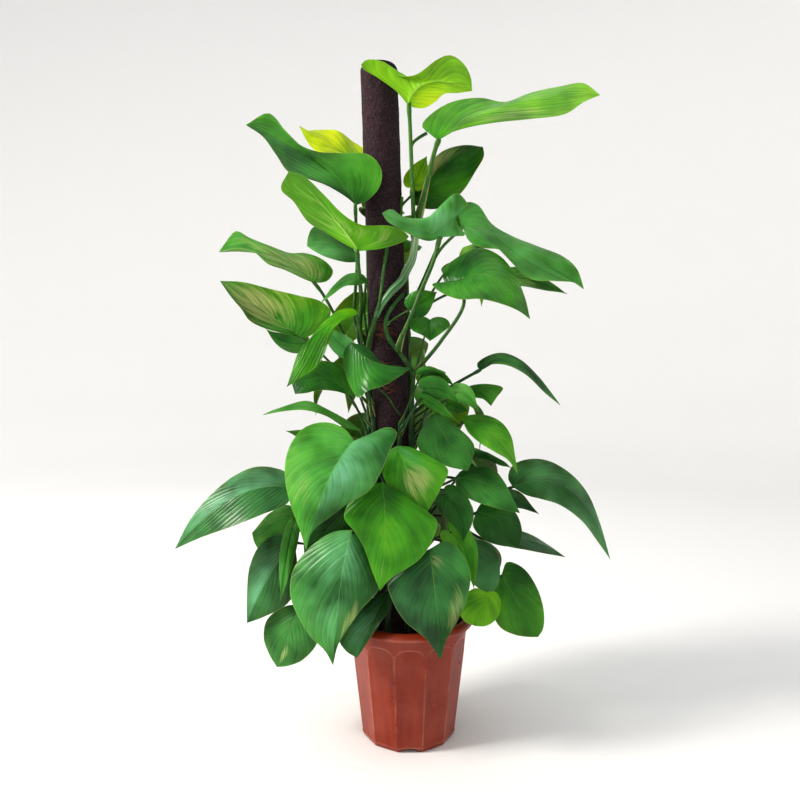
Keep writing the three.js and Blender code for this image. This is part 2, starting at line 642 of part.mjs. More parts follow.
        [[482, 503, 0], [500, 504, 2], [515, 512, 8], [522, 530, 12]],
        [[473, 526, 14], [485, 540, 18], [503, 546, 18]]),
    ],
  },
  // Low on the right
  vine_09: {
    bearing: 93,
    route: [[96, 360]],
    leaves: [
      drawn(340, [513, 487, -4], [570, 490, 12], [610, 559, 18],
        [[508, 478, -12], [513, 465, -22], [530, 459, -28], [549, 461, -26], [571, 474, -16],
          [588, 494, -4], [600, 523, 8]],
        [[526, 495, 10], [541, 499, 24], [560, 505, 36], [581, 520, 38], [598, 542, 30]]),
      drawn(290, [500, 538, -14], [533, 541, -8], [565, 557, -4],
        [[506, 529, -26], [527, 533, -26], [547, 544, -18]],
        [[504, 545, 4], [527, 550, 12], [548, 554, 8]]),
      plain(322, [505, 497, -18], [520, 502, -14], [539, 514, -10], 28, -30),
      drawn(260, [469, 544, 34], [484, 566, 40], [491, 594, 44],
        [[480, 540, 32], [495, 549, 32], [500, 568, 36], [498, 585, 40]],
        [[466, 556, 38], [468, 575, 42], [478, 588, 45]]),
      drawn(206, [486, 592, 46], [481, 608, 56], [475, 626, 62],
        [[496, 592, 44], [501, 604, 48], [497, 618, 56], [486, 626, 60]],
        [[475, 588, 48], [464, 596, 52], [459, 609, 56], [464, 621, 60]]),
      drawn(232, [502, 574, 20], [517, 602, 32], [538, 637, 34],
        [[507, 562, 12], [523, 568, 12], [537, 588, 18], [544, 612, 26], [543, 629, 32]],
        [[494, 590, 24], [492, 610, 32], [500, 627, 38], [516, 635, 40], [529, 637, 38]]),
    ],
  },
  // Right side, towards the back
  vine_10: {
    bearing: 118,
    route: [[116, 400], [112, 600], [110, 645]],
    leaves: [
      drawn(560, [462, 226, 12], [515, 246, 28], [584, 289, 40],
        [[459, 212, 2], [467, 202, -8], [478, 205, -10], [492, 224, 0], [512, 236, 8], [537, 246, 14],
          [564, 257, 24], [577, 269, 32]],
        [[470, 242, 26], [484, 248, 36], [500, 250, 44], [515, 266, 50], [531, 279, 52],
          [555, 281, 50], [576, 283, 44]],
        { thick: 2.4, via: [seen(417, 310, -12), seen(427, 276, -8), seen(440, 250, 0)] }),
      plain(582, [508, 276, -12], [535, 281, -8], [567, 294, -4], 30, -30,
        { via: [seen(446, 295, -16), seen(482, 284, -16)] }),
      drawn(440, [480, 371, -4], [514, 359, 4], [560, 405, 12],
        [[477, 364, -8], [490, 355, -14], [504, 353, -14], [521, 360, -10], [539, 377, 0], [550, 391, 6]],
        [[487, 367, 4], [498, 362, 12], [511, 365, 18], [528, 376, 22], [544, 392, 20]],
        { thick: 2.4 }),
      behind(202, 95, 88, 250, 135, 154, 74),
      behind(274, 106, 88, 365, 135, 276, 70),
      behind(390, 98, 67, 468, 104, 391, 63),
      behind(586, 109, 69, 724, 109, 642, 62),
    ],
  },
  // The back is as leafy as the front
  vine_11: {
    bearing: 146,
    route: [[146, 420], [142, 600], [138, 745]],
    leaves: [
      behind(180, 122, 100, 262, 148, 160, 88),
      behind(230, 150, 84, 318, 150, 190, 100),
      behind(290, 126, 88, 392, 160, 290, 92),
      behind(360, 154, 84, 470, 160, 370, 96),
      behind(552, 128, 87, 665, 152, 605, 71),
      behind(484, 163, 87, 513, 135, 445, 58),
      behind(735, 142, 56, 782, 118, 800, 60),
    ],
  },
  vine_12: {
    bearing: 178,
    route: [[178, 420], [184, 560], [186, 650]],
    leaves: [
      behind(190, 178, 96, 270, 152, 162, 100),
      behind(250, 194, 104, 350, 176, 240, 98),
      behind(330, 182, 100, 440, 172, 330, 94),
      behind(430, 184, 96, 555, 160, 455, 84),
      behind(600, 186, 72, 715, 128, 650, 74),
    ],
  },
  vine_13: {
    bearing: 212,
    route: [[214, 420], [208, 600], [206, 660]],
    leaves: [
      behind(180, 250, 100, 262, 148, 165, 88),
      behind(240, 220, 84, 318, 150, 205, 92),
      behind(300, 240, 88, 398, 158, 300, 88),
      behind(350, 216, 84, 430, 150, 322, 84),
      behind(411, 222, 69, 520, 128, 440, 63),
      behind(500, 222, 86, 590, 150, 520, 80),
      behind(640, 208, 64, 742, 120, 742, 70),
    ],
  },
};

function vineSolid({ bearing, route, leaves }) {
  const curve = stemCurve({ bearing, route });
  const steps = Math.ceil(curve.getLength() / (route.length > 4 ? 26 : 46));
  const pieces = [solidOf(tube(curve, STEM_RADIUS, 5, steps))];
  leaves.forEach((entry) => {
    const leaf = { ...LEAF_DEFAULTS, ...entry };
    pieces.push(solidOf(petioleGeometry(leaf, curve)));
    pieces.push(solidOf(bladeGeometry(leaf)));
  });
  return joined(pieces);
}

// Soil: fills the pot, with a plain hole for the pole and for each stem
function soilSolid() {
  const wall = (height) => wallRadius(height) - WALL_THICKNESS - CLEARANCE - 0.2;
  const body = solidOf(turned([
    [0, FLOOR_HEIGHT + CLEARANCE],
    [wall(FLOOR_HEIGHT) - 1, FLOOR_HEIGHT + CLEARANCE],
    [wall(SOIL_TOP - 6) - 2.5, SOIL_TOP - 6],
    [wall(SOIL_TOP) - 12, SOIL_TOP - 1],
    [SLEEVE_RADIUS + 20, SOIL_TOP],
    [0, SOIL_TOP],
  ], 24));
  const poleHole = leaned(turned([
    [0, PIPE_FOOT - 1],
    [SLEEVE_RADIUS + CLEARANCE, PIPE_FOOT - 1],
    [SLEEVE_RADIUS + CLEARANCE, SOIL_TOP + 20],
    [0, SOIL_TOP + 20],
  ], 20));
  const cutters = [solidOf(poleHole)];
  Object.values(vines).forEach((vine) => {
    const foot = stemCurve(vine).getPoint(0);
    const radius = STEM_RADIUS + 1.5;
    const hole = new THREE.CylinderGeometry(radius, radius, 2 * ROOT_DEPTH, 6);
    hole.rotateX(Math.PI / 2);
    hole.translate(foot.x, foot.y, foot.z + ROOT_DEPTH - 1);
    cutters.push(solidOf(hole));
  });
  return body.subtract(joined(cutters));
}

// The assembled plant
const plant = new THREE.Group();

function place(name, geometry, color, roughness) {
  const material = new THREE.MeshStandardMaterial({ color, roughness, metalness: 0 });
  const mesh = new THREE.Mesh(geometry, material);
  mesh.name = name;
  plant.add(mesh);
}

place('pot', geometryOf(potSolid()), 0x9c4a38, 0.45);
place('soil', geometryOf(soilSolid()), 0x1d1511, 1);
place('pole_core', pipeGeometry(), 0xb9b7b0, 0.5);
place('pole_wrap', sleeveGeometry(), 0x3a2630, 1);
Object.entries(vines).forEach(([name, vine]) => {
  place(name, geometryOf(vineSolid(vine)), 0x3f8f2a, 0.4);
});

export default plant;
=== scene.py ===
"""Potted golden pothos on a felt-wrapped pole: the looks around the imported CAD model."""
import math

import bpy
import numpy as np
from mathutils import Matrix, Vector


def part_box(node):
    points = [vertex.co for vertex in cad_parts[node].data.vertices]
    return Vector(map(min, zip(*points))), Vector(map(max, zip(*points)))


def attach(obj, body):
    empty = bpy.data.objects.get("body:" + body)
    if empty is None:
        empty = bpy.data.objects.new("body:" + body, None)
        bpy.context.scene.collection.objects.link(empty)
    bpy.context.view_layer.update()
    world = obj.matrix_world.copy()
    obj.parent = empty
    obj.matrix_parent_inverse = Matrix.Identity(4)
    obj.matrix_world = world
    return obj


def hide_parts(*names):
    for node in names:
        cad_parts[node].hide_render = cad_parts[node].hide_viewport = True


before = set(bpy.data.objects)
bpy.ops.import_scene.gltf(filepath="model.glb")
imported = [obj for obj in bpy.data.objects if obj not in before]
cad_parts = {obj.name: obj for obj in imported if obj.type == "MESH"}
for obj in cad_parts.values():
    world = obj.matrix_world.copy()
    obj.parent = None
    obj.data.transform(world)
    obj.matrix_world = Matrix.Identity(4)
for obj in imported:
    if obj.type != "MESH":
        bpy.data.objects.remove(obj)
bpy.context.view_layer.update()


# Pot: a moulded nursery pot whose round wall is planed into twelve flat panels with
# arched tops, under a rolled collar. The wall is a fine grid, so the panels' edges
# keep the small radius that a mould gives them. Measures are in mm.
MM = 0.001
PANEL_COUNT = 12
PANEL_TOP = 141
PANEL_ARCH = 18
PANEL_TURN = math.radians(1.7)
WALL_FOOT_RADIUS = 64.5
WALL_SLOPE = 19 / 164
WALL_THICKNESS = 2.2
FLOOR_HEIGHT = 8
FOOT_INSIDE = 57
FOOT_EDGE = 6.4
COLLAR_EDGE = 157.2
NOTCH_COUNT = 4
NOTCH_HALF_WIDTH = 12.5
NOTCH_HEIGHT = 6
HOLE_RADIUS = 5
HOLE_DISTANCE = WALL_FOOT_RADIUS * 0.66
POT_COLUMNS = 24 * PANEL_COUNT
WALL_RINGS = 96


def around(bearing, radius, height):
    """A point at a bearing: 0 is the front, 90 the right and 180 the back."""
    angle = math.radians(bearing)
    return np.array([radius * math.sin(angle), -radius * math.cos(angle), height])


def ring(angles, radius, height):
    """Points round the middle, one for each angle."""
    return np.stack([radius * np.sin(angles), -radius * np.cos(angles), height + 0 * angles], -1)


def smooth_step(value):
    share = np.clip(value, 0, 1)
    return share * share * (3 - 2 * share)


def arch_height(angles):
    """Height in mm of a panel's arched top, and the angle from the panel's middle."""
    step = 2 * math.pi / PANEL_COUNT
    local = (angles / step + 0.5) % 1 * step - step / 2
    across = np.abs(local) / (step / 2)
    return PANEL_TOP - PANEL_ARCH * (1 - (1 - across ** 3) ** (1 / 2)), local


def panel_radius(angles, height):
    """Radius of the outer wall in mm, flat across each panel and round above its arch."""
    arch_top, local = arch_height(angles)
    round_radius = WALL_FOOT_RADIUS + WALL_SLOPE * height
    flat_radius = WALL_FOOT_RADIUS * math.cos(math.pi / PANEL_COUNT) + WALL_SLOPE * height
    inside = smooth_step((arch_top - height) / 2.5 + 0.5)
    return round_radius - (round_radius - flat_radius / np.cos(local)) * inside


def edge_highlight_share(turned, height, outside):
    """How strongly a ring gets the painted highlight that stands in for light caught on an edge: a
    panel's side or arch, the foot or the collar.
    """
    arch_top, local = arch_height(turned)
    side = (math.pi / PANEL_COUNT - np.abs(local)) * WALL_FOOT_RADIUS
    side = np.exp(-(side / 0.7) ** 2) * smooth_step((arch_top + 14 - height) / 12)
    arch = np.exp(-((arch_top - height + 0.4) / 1.1) ** 2)
    foot = math.exp(-((height - FOOT_EDGE) / 0.8) ** 2)
    collar = math.exp(-((height - COLLAR_EDGE) / 1.2) ** 2)
    return outside * np.clip(side + 0.7 * arch + foot + 0.6 * collar, 0, 1)


def pot_rows(turned):
    """Radius and height of each ring, from the middle of the floor, round the collar and
    down the wall to the underside."""
    inner = WALL_FOOT_RADIUS - WALL_THICKNESS
    rows = [(radius, FLOOR_HEIGHT) for radius in (0.5, 30, inner - 3)]
    rows += [(inner + WALL_SLOPE * z, z) for z in np.linspace(9, 150, 8)]
    rows += [(79, 155), (78.9, 160), (79.1, 162.6), (80, 163.8), (81.6, 164), (84.2, 163.2),
             (86.8, 161.4), (88.8, 159.2), (89.8, 157.4), (90, 156), (89.4, 155), (87, 154.8),
             (84, 154.6), (82.9, 153.6)]
    rows += [(panel_radius(turned, z), z) for z in np.linspace(152, 8.4, WALL_RINGS)]
    rows += [(panel_radius(turned, z) + out, z) for z, out in
             ((7.4, 0.5), (6.4, 0.6), (5.4, 0.1), (3, -0.4), (1.2, -0.9), (0.3, -1.8))]
    return rows + [(60.8, 0), (60, 0.8), (58.6, 4.6), (57.5, 5), (19.5, 5), (18.6, 4.2),
                   (16.6, 0.4), (16, 0), (0.5, 0)]


def grid_faces(rows, columns, start=0, closed=False):
    """Quads over rows of points; a closed grid joins its last column to its first."""
    faces = []
    for row in range(rows - 1):
        for column in range(columns if closed else columns - 1):
            beside = (column + 1) % columns
            near = start + row * columns
            far = near + columns
            faces.append((near + column, near + beside, far + beside, far + column))
    return faces


def capped_faces(rows, columns):
    """The faces of a closed grid, with a cap over its first row and its last."""
    count = rows * columns
    return grid_faces(rows, columns, closed=True) + [
        tuple(range(columns - 1, -1, -1)), tuple(range(count - columns, count))]


def add_piece(name, points, faces, material, slot, replaces=()):
    """A mesh object that rides on the plant."""
    mesh = bpy.data.meshes.new(name)
    mesh.from_pydata(np.asarray(points).tolist(), [], faces)
    mesh.shade_smooth()
    mesh.materials.append(material)
    piece = bpy.data.objects.new(name, mesh)
    bpy.context.scene.collection.objects.link(piece)
    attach(piece, "root")
    if replaces:
        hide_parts(*replaces)
    return piece


def mark_points(mesh, name, kind, values):
    """Gives every point a value that a material reads."""
    attribute = mesh.attributes.new(name, kind, "POINT")
    key = {"FLOAT": "value", "FLOAT_COLOR": "color", "FLOAT_VECTOR": "vector"}[kind]
    attribute.data.foreach_set(key, values.astype(np.float32).ravel())


def build_pot(material):
    turned = np.linspace(0, 2 * math.pi, POT_COLUMNS, endpoint=False)
    spacing = 2 * math.pi / NOTCH_COUNT
    off_notch = ((turned / spacing + 0.5) % 1 - 0.5) * spacing * WALL_FOOT_RADIUS
    arch = NOTCH_HEIGHT * np.sqrt(np.clip(1 - (off_notch / NOTCH_HALF_WIDTH) ** 2, 0, 1))
    points, edge_highlights = [], []
    for radius, height in pot_rows(turned):
        foot = (radius > FOOT_INSIDE) & (height < NOTCH_HEIGHT + 2)
        lifted = np.where(foot, np.maximum(height, arch), height)
        edge_highlights.append(edge_highlight_share(turned, height, radius > 61.5 + WALL_SLOPE * height))
        points.append(ring(turned + PANEL_TURN, radius, lifted))
    pot = add_piece("pot_moulded", np.concatenate(points) * MM, capped_faces(len(points), POT_COLUMNS),
                    material, "pot_plastic", ["pot"])
    # Painted highlight: each point's share of the pale edge colour, standing in for light caught on the
    # edges
    mark_points(pot.data, "painted_edge_highlight", "FLOAT", np.concatenate(edge_highlights))
    cut_holes(pot)
    pot.data.set_sharp_from_angle(angle=math.radians(40))


def cut_holes(pot):
    """Drain holes through the floor, one behind each notch."""
    cutters = []
    for hole in range(NOTCH_COUNT):
        bpy.ops.mesh.primitive_cylinder_add(
            vertices=24, radius=HOLE_RADIUS * MM, depth=20 * MM,
            location=around(math.degrees(PANEL_TURN) + 360 / NOTCH_COUNT * hole,
                            HOLE_DISTANCE * MM, 6 * MM))
        cutters.append(bpy.context.object)
    with bpy.context.temp_override(active_object=cutters[0], selected_editable_objects=cutters):
        bpy.ops.object.join()
    difference = pot.modifiers.new("drain_holes", "BOOLEAN")
    difference.object = cutters[0]
    difference.operation = "DIFFERENCE"
    with bpy.context.temp_override(object=pot):
        bpy.ops.object.modifier_apply(modifier=difference.name)
    bpy.data.objects.remove(cutters[0])


def linear(hex_colour):
    """An sRGB hex colour as linear red, green, blue and alpha."""
    channels = [int(hex_colour[i:i + 2], 16) / 255 for i in (1, 3, 5)]
    return [c / 12.92 if c <= 0.04045 else ((c + 0.055) / 1.055) ** 2.4 for c in channels] + [1]


def add_node(material, kind, settings=None, **inputs):
    """Adds a node. An input takes a value, a hex colour or another node's output; its name
    has _ for spaces, and n with a number stands for a numbered input."""
    node = material.node_tree.nodes.new("ShaderNode" + kind)
    for key, value in (settings or {}).items():
        setattr(node, key, value)
    for key, value in inputs.items():
        numbered = key[0] == "n" and key[1:].isdigit()
        socket = node.inputs[int(key[1:]) if numbered else key.replace("_", " ")]
        if isinstance(value, bpy.types.NodeSocket):
            material.node_tree.links.new(value, socket)
        else:
            socket.default_value = linear(value) if isinstance(value, str) else value
    return node


def start_material(name):
    """An empty material, with the place in the object that its patterns follow."""
    material = bpy.data.materials.new(name)
    material.use_nodes = True
    material.node_tree.nodes.clear()
    return material, add_node(material, "TexCoord").outputs["Object"]


def noise(material, place, scale, detail, **settings):
    return add_node(material, "TexNoise", Vector=place, Scale=scale, Detail=detail,
                    **settings).outputs[0]


def streaks(material, place, across, upward, detail, **settings):
    """Noise drawn out along the object's height."""
    drawn_out = add_node(material, "Mapping", Vector=place, Scale=(across, across, upward))
    return noise(material, drawn_out.outputs[0], 1.0, detail, **settings)


def mix_colours(material, share, low, high):
    return add_node(material, "Mix", {"data_type": "RGBA"}, Factor=share, n6=low, n7=high).outputs[2]


def calculate(material, operation, first, second=0.0, third=0.0, clamp=False):
    node = add_node(material, "Math", {"operation": operation, "use_clamp": clamp},
                    n0=first, n1=second, n2=third)
    return node.outputs[0]


def scaled(material, value, gain, offset=0.0):
    return calculate(material, "MULTIPLY_ADD", value, gain, offset)


def graded(material, value, gain, offset):
    """A value scaled and shifted, then kept between 0 and 1."""
    return calculate(material, "MULTIPLY_ADD", value, gain, offset, True)


def finish_material(material, colour, roughness, height=None, depth=0.0, **shader_inputs):
    """Ends a material in its shader; height is raised by depth metres."""
    shader = add_node(material, "BsdfPrincipled", Base_Color=colour, Roughness=roughness,
                      **shader_inputs)
    if height is not None:
        bump = add_node(material, "Bump", Height=height, Distance=depth, Strength=1.0)
        material.node_tree.links.new(bump.outputs[0], shader.inputs["Normal"])
    add_node(material, "OutputMaterial", Surface=shader.outputs[0])
    return material


# Plastic with flow marks down the wall, a dusty film and fine scratches, and a painted
# highlight that makes the edges pale where they would catch the light
def make_pot_plastic():
    material, place = start_material("pot_plastic_moulded_satin")
    flow = streaks(material, place, 110, 5, 5.0, Roughness=0.6)
    cloud = noise(material, place, 28.0, 4.0)
    colour = mix_colours(material, graded(material, flow, 2.0, -0.5), "#7a220d", "#933418")
    dusty = scaled(material, graded(material, cloud, 2.4, -1.05), 0.25)
    colour = mix_colours(material, dusty, colour, "#b0705c")
    # Painted highlight: pale colour along the panel sides, arches, foot and collar, broken up by noise
    edge_highlight = add_node(material, "Attribute", {"attribute_name": "painted_edge_highlight"}).outputs["Fac"]
    edge_highlight_mix = calculate(material, "MULTIPLY", edge_highlight, graded(material, cloud, 1.3, -0.4))
    colour = mix_colours(material, edge_highlight_mix, colour, "#d99a84")
    height = scaled(material, flow, 3.0, noise(material, place, 900.0, 3.0))
    return finish_material(material, colour, scaled(material, cloud, 0.2, 0.2), height, 0.00015,
                           Specular_IOR_Level=0.4)


build_pot(make_pot_plastic())


# Soil: one uneven surface with a closed body below it, and loose bark chips on top
soil_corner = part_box("soil")[1] / MM
SOIL_TOP = soil_corner.z
SOIL_RADIUS = soil_corner.x
SOIL_RINGS = 60
SOIL_COLUMNS = 150
CHIP_COUNT = 420


def bumpy(x, y, scale, seed):
    """Smooth uneven height between -1 and 1, from a few crossing waves."""
    chance = np.random.default_rng(seed)
    total = 0
    for wave in range(9):
        angle = chance.uniform(0, 2 * math.pi)
        pace = chance.uniform(0.6, 2.2) / scale
        total = total + np.sin((x * math.cos(angle) + y * math.sin(angle)) * pace
                               + chance.uniform(0, 6.3))
    return total / 4.5


def rim_drop(radius):
    """How far in mm the soil sinks towards the pot's wall."""
    return 4 * smooth_step((radius - SOIL_RADIUS + 8) / 8)


def build_soil(material):
    angles = np.linspace(0, 2 * math.pi, SOIL_COLUMNS, endpoint=False)
    chance = np.random.default_rng(4)
    rows = []
    for radius in np.linspace(1, SOIL_RADIUS, SOIL_RINGS):
        x, y = radius * np.sin(angles), -radius * np.cos(angles)
        crumbs = chance.uniform(-0.7, 0.7, SOIL_COLUMNS)
        height = SOIL_TOP - 3 + 1.6 * bumpy(x, y, 9, 1) + 0.9 * bumpy(x, y, 3, 2) + crumbs
        rows.append(ring(angles, radius, height - rim_drop(radius)))
    for radius, height in ((SOIL_RADIUS, SOIL_TOP - 12), (62, 9), (1, 8.4)):
        rows.append(ring(angles, radius, height))
    add_piece("soil_surface", np.concatenate(rows[::-1]) * MM, capped_faces(len(rows), SOIL_COLUMNS),
              material, "potting_soil", ["soil"])


def join_parts(parts):
    """The points and faces of several meshes as one."""
    starts = np.cumsum([0] + [len(points) for points, _ in parts]).tolist()
    faces = [tuple(i + start for i in face)
             for start, (_, part_faces) in zip(starts, parts) for face in part_faces]
    return np.concatenate([points for points, _ in parts]), faces


def build_chips(material):
    """Flat, broken-edged chips that lie at small random tilts, half sunk in the soil."""
    chance = np.random.default_rng(9)
    corner = np.array([(x, y, z) for z in (-1, 1) for x, y in ((-1, -1), (1, -1), (1, 1), (-1, 1))])
    box_faces = ((0, 3, 2, 1), (4, 5, 6, 7), (0, 1, 5, 4), (1, 2, 6, 5), (2, 3, 7, 6), (3, 0, 4, 7))
    chips = []
    for _ in range(CHIP_COUNT):
        bearing, radius = chance.uniform(0, 360), SOIL_RADIUS * 0.97 * math.sqrt(chance.uniform(0.1, 1))
        size = np.array([chance.uniform(1.5, 4.6), chance.uniform(1.0, 2.8), chance.uniform(0.4, 1.1)])
        shape = corner * size * chance.uniform(0.7, 1.15, (8, 3))
        tilt, _, turn = (chance.uniform(-0.4, 0.4), chance.uniform(-0.4, 0.4), chance.uniform(0, 6.3))
        ahead = Vector((math.cos(turn), math.sin(turn), tilt))
        rotation = np.array(ahead.to_track_quat("X", "Z").to_matrix())
        height = SOIL_TOP - 2.2 - float(rim_drop(radius)) + chance.uniform(-0.5, 1.2)
        chips.append((shape @ rotation.T + around(bearing, radius, height), box_faces))
    points, faces = join_parts(chips)
    piece = add_piece("bark_chips", points * MM, faces, material, "potting_soil")
    piece.data.shade_flat()


# Moist peat: nearly black, with brown fibres and crumbs
def make_peat():
    material, place = start_material("potting_soil_moist_peat")
    crumb = noise(material, place, 420.0, 8.0, Roughness=0.7)
    patch = noise(material, place, 60.0, 3.0)
    colour = mix_colours(material, graded(material, crumb, 2.6, -0.9), "#120c08", "#3d2a1c")
    colour = mix_colours(material, graded(material, patch, 2.0, -0.7), colour, "#1b130e")
    return finish_material(material, colour, scaled(material, patch, -0.3, 1.0), crumb, 0.0012)


# Bark: brown to grey-brown, each chip in its own shade, with a fibrous grain
def make_bark():
    material, place = start_material("bark_chips_fibrous")
    island = add_node(material, "NewGeometry").outputs["Random Per Island"]
    grain = noise(material, place, 700.0, 6.0)
    colour = mix_colours(material, island, "#1f140d", "#57402b")
    colour = mix_colours(material, scaled(material, grain, 0.5), colour, "#120b07")
    return finish_material(material, colour, scaled(material, grain, 0.3, 0.65), grain, 0.0006)


build_soil(make_peat())
build_chips(make_bark())


# Pole: a thick felt sleeve that stands in the soil and leans a little to the left,
# closed and slightly domed at its top. The plastic pipe inside it stays as it is.
POLE_TOP = (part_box("pole_wrap")[1] / MM).z
POLE_LEAN = math.radians(2)
POLE_X_AT_SOIL = -14
SLEEVE_RADIUS = 26
SLEEVE_FOOT = 90
SLEEVE_COLUMNS = 120
SLEEVE_ROWS = 330
SEAM_BEARING = 2.5


def pole_axis(height):
    return np.array([POLE_X_AT_SOIL - math.tan(POLE_LEAN) * (height - SOIL_TOP), 0, height])


def build_sleeve(material):
    angles = np.linspace(0, 2 * math.pi, SLEEVE_COLUMNS, endpoint=False)
    chance = np.random.default_rng(21)
    along = np.array([-math.sin(POLE_LEAN), 0, math.cos(POLE_LEAN)])
    across = np.array([math.cos(POLE_LEAN), 0, math.sin(POLE_LEAN)])
    edge = [(1.0, z) for z in np.linspace(SLEEVE_FOOT, POLE_TOP - 7, SLEEVE_ROWS)]
    edge += [(share, POLE_TOP - below) for share, below in
             ((0.99, 5), (0.965, 3.2), (0.92, 1.9), (0.85, 1.1), (0.7, 0.7), (0.45, 0.5), (0.2, 0.4),
              (0.02, 0.4))]
    rows = []
    for share, height in edge:
        swell = 0.35 * bumpy(SLEEVE_RADIUS * angles, np.full(SLEEVE_COLUMNS, height), 14, 5)
        fuzz = chance.normal(0, 0.16, SLEEVE_COLUMNS)
        off_seam = np.angle(np.exp(1j * (angles - SEAM_BEARING))) * SLEEVE_RADIUS - height * 0.02
        seam = 0.9 * np.exp(-(off_seam / 2.2) ** 2)
        radius = (SLEEVE_RADIUS - 0.4 + swell + fuzz + seam) * share
        centre = np.array([POLE_X_AT_SOIL, 0, SOIL_TOP]) + along * (height - SOIL_TOP)
        rows.append(centre + np.outer(radius * np.sin(angles), across)
                    + np.outer(-radius * np.cos(angles), (0, 1, 0)))
    add_piece("pole_felt_sleeve", np.concatenate(rows) * MM, capped_faces(len(rows), SLEEVE_COLUMNS),
              material, "felt", ["pole_wrap"])


# Needled felt: purple-brown, with pale lint, matted fibres and worn darker bands
def make_felt():
    material, place = start_material("felt_needled_purple_brown")
    fibre = noise(material, place, 380.0, 8.0, Roughness=0.75, Distortion=1.2)
    clump = noise(material, place, 480.0, 3.0, Roughness=0.6)
    band = noise(material, place, 16.0, 3.0)
    colour = mix_colours(material, graded(material, fibre, 6.0, -2.5), "#0a0406", "#4d2c38")
    lint = scaled(material, graded(material, clump, 6.0, -3.1), 0.5)
    colour = mix_colours(material, lint, colour, "#84606e")
    colour = mix_colours(material, graded(material, band, 1.8, -0.75), colour, "#180c11")
    return finish_material(material, colour, 0.95, scaled(material, clump, 1.4, fibre), 0.004,
                           Sheen_Weight=0.1, Sheen_Roughness=0.6, Specular_IOR_Level=0.12)


# Extruded pipe: plain grey plastic with fine lengthways marks
def make_pipe_plastic():
    material, place = start_material("pipe_plastic_extruded")
    marks = streaks(material, place, 300, 6, 4.0)
    colour = mix_colours(material, marks, "#8d8b86", "#a5a39c")
    return finish_material(material, colour, 0.45, marks, 0.0001)


build_sleeve(make_felt())
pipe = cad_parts["pole_core"]
pipe.data.materials.clear()
pipe.data.materials.append(make_pipe_plastic())


# Leafy stems: how each stem climbs, how its leaf stalks leave it and how a blade is
# shaped. Routes and outlines are the ones that the solids follow. The front's leaves are
# laid out as an eye sees them that looks slightly down from before the pot.
EYE_DISTANCE = 0.9
EYE_HEIGHT = 0.477
VIEW_FOCAL = 645
VIEW_MIDDLE = 400
VIEW_PITCH = 0.017
VIEW_YAW = -0.013
STEM_RADIUS = 3.6
STEM_RING_SPACING = 3
STEM_FOOT = [[175, 24], [215, 10], [260, 3], [320, 1]]
ROOT_DEPTH = 45
JOINT_SPACING = 48
STALK_RADIUS = 1.9
SMALL_STALK_RADIUS = 1.4
SMALL_LEAF = 60
STALK_RINGS = 46
BLADE_THICKNESS = 0.8
BLADE_ROWS = 40
BLADE_COLUMNS = 14
BLADE_FOLD = math.radians(12)
BLADE_CURL = -4 * MM
BLADE_WAVE = 2 * MM
BLADE_DISH = 0.12
VEIN_COUNT = 7


def eye_at(bearing):
    return around(bearing, EYE_DISTANCE, EYE_HEIGHT)


def unit(vectors):
    return vectors / np.linalg.norm(vectors, axis=-1, keepdims=True)


def seen(across, down, out):
    """The point seen at (across, down) in the view, standing out mm before the pole."""
    cos_pitch = math.cos(VIEW_PITCH)
    ahead = np.array([math.sin(VIEW_YAW) * cos_pitch, math.cos(VIEW_YAW) * cos_pitch,
                      -math.sin(VIEW_PITCH)])
    right = np.array([math.cos(VIEW_YAW), -math.sin(VIEW_YAW), 0])
    over = np.cross(right, ahead)
    ray = (ahead + right * (across - VIEW_MIDDLE) / VIEW_FOCAL
           + over * (VIEW_MIDDLE - down) / VIEW_FOCAL)
    return eye_at(0) + ray * (EYE_DISTANCE - out * MM) / ray[1]


def curve_through(points, steps=14):
    """A dense, evenly spaced line through points (a centripetal Catmull-Rom spline)."""
    points = [np.asarray(p, float) for p in points]
    ends = [2 * points[0] - points[1], *points, 2 * points[-1] - points[-2]]
    share = np.linspace(0, 1, steps, endpoint=False)[:, None]
    line = []
    for before, start, end, after in zip(ends, ends[1:], ends[2:], ends[3:]):
        gaps = [math.sqrt(max(np.linalg.norm(b - a), 1e-9))
                for a, b in ((before, start), (start, end), (end, after))]
        leave = gaps[1] * ((start - before) / gaps[0] - (end - before) / (gaps[0] + gaps[1])
                           + (end - start) / gaps[1])
        arrive = gaps[1] * ((end - start) / gaps[1] - (after - start) / (gaps[1] + gaps[2])
                            + (after - end) / gaps[2])
        line.append(start + leave * share + (3 * (end - start) - 2 * leave - arrive) * share ** 2
                    + (2 * (start - end) + leave + arrive) * share ** 3)
    line.append(points[-1][None])
    return np.concatenate(line)


def resample(line, shares):
    """Points at shares of a line's length."""
    length = np.concatenate([[0], np.cumsum(np.linalg.norm(np.diff(line, axis=0), axis=1))])
    return np.stack([np.interp(np.asarray(shares) * length[-1], length, line[:, i])
                     for i in range(3)], -1)


def bezier(points, shares):
    """A quadratic or cubic Bezier curve's points."""
    degree = len(points) - 1
    return sum(math.comb(degree, i) * (shares ** i * (1 - shares) ** (degree - i))[:, None]
               * np.asarray(points[i]) for i in range(degree + 1))


def stem_line(vine):
    bearing = vine["bearing"]
    soil_axis = pole_axis(SOIL_TOP)
    foot = around(bearing, SLEEVE_RADIUS + STEM_FOOT[0][1], 0)
    points = [foot + soil_axis + (0, 0, rise - SOIL_TOP)
              for rise in (SOIL_TOP - ROOT_DEPTH, SOIL_TOP - 15)]
    climb = [[bearing, height, off] for height, off in STEM_FOOT]
    for turn, height, *off in climb + vine["route"]:
        low = height <= STEM_FOOT[0][0]
        radius = SLEEVE_RADIUS + (0 if low else STEM_RADIUS) + (off[0] if off else 1)
        centre = soil_axis + (0, 0, height - SOIL_TOP) if low else pole_axis(height)
        points.append(around(turn, radius, 0) + centre)
    return curve_through(points)


LOBE = ((0, 0), (0.25, -0.2), (1, -0.14), (1, 0.24))
FLANK = ((1, 0.24), (1, 0.58), (0.2, 0.82), (0, 1))
LOBE_SHARE = 0.35


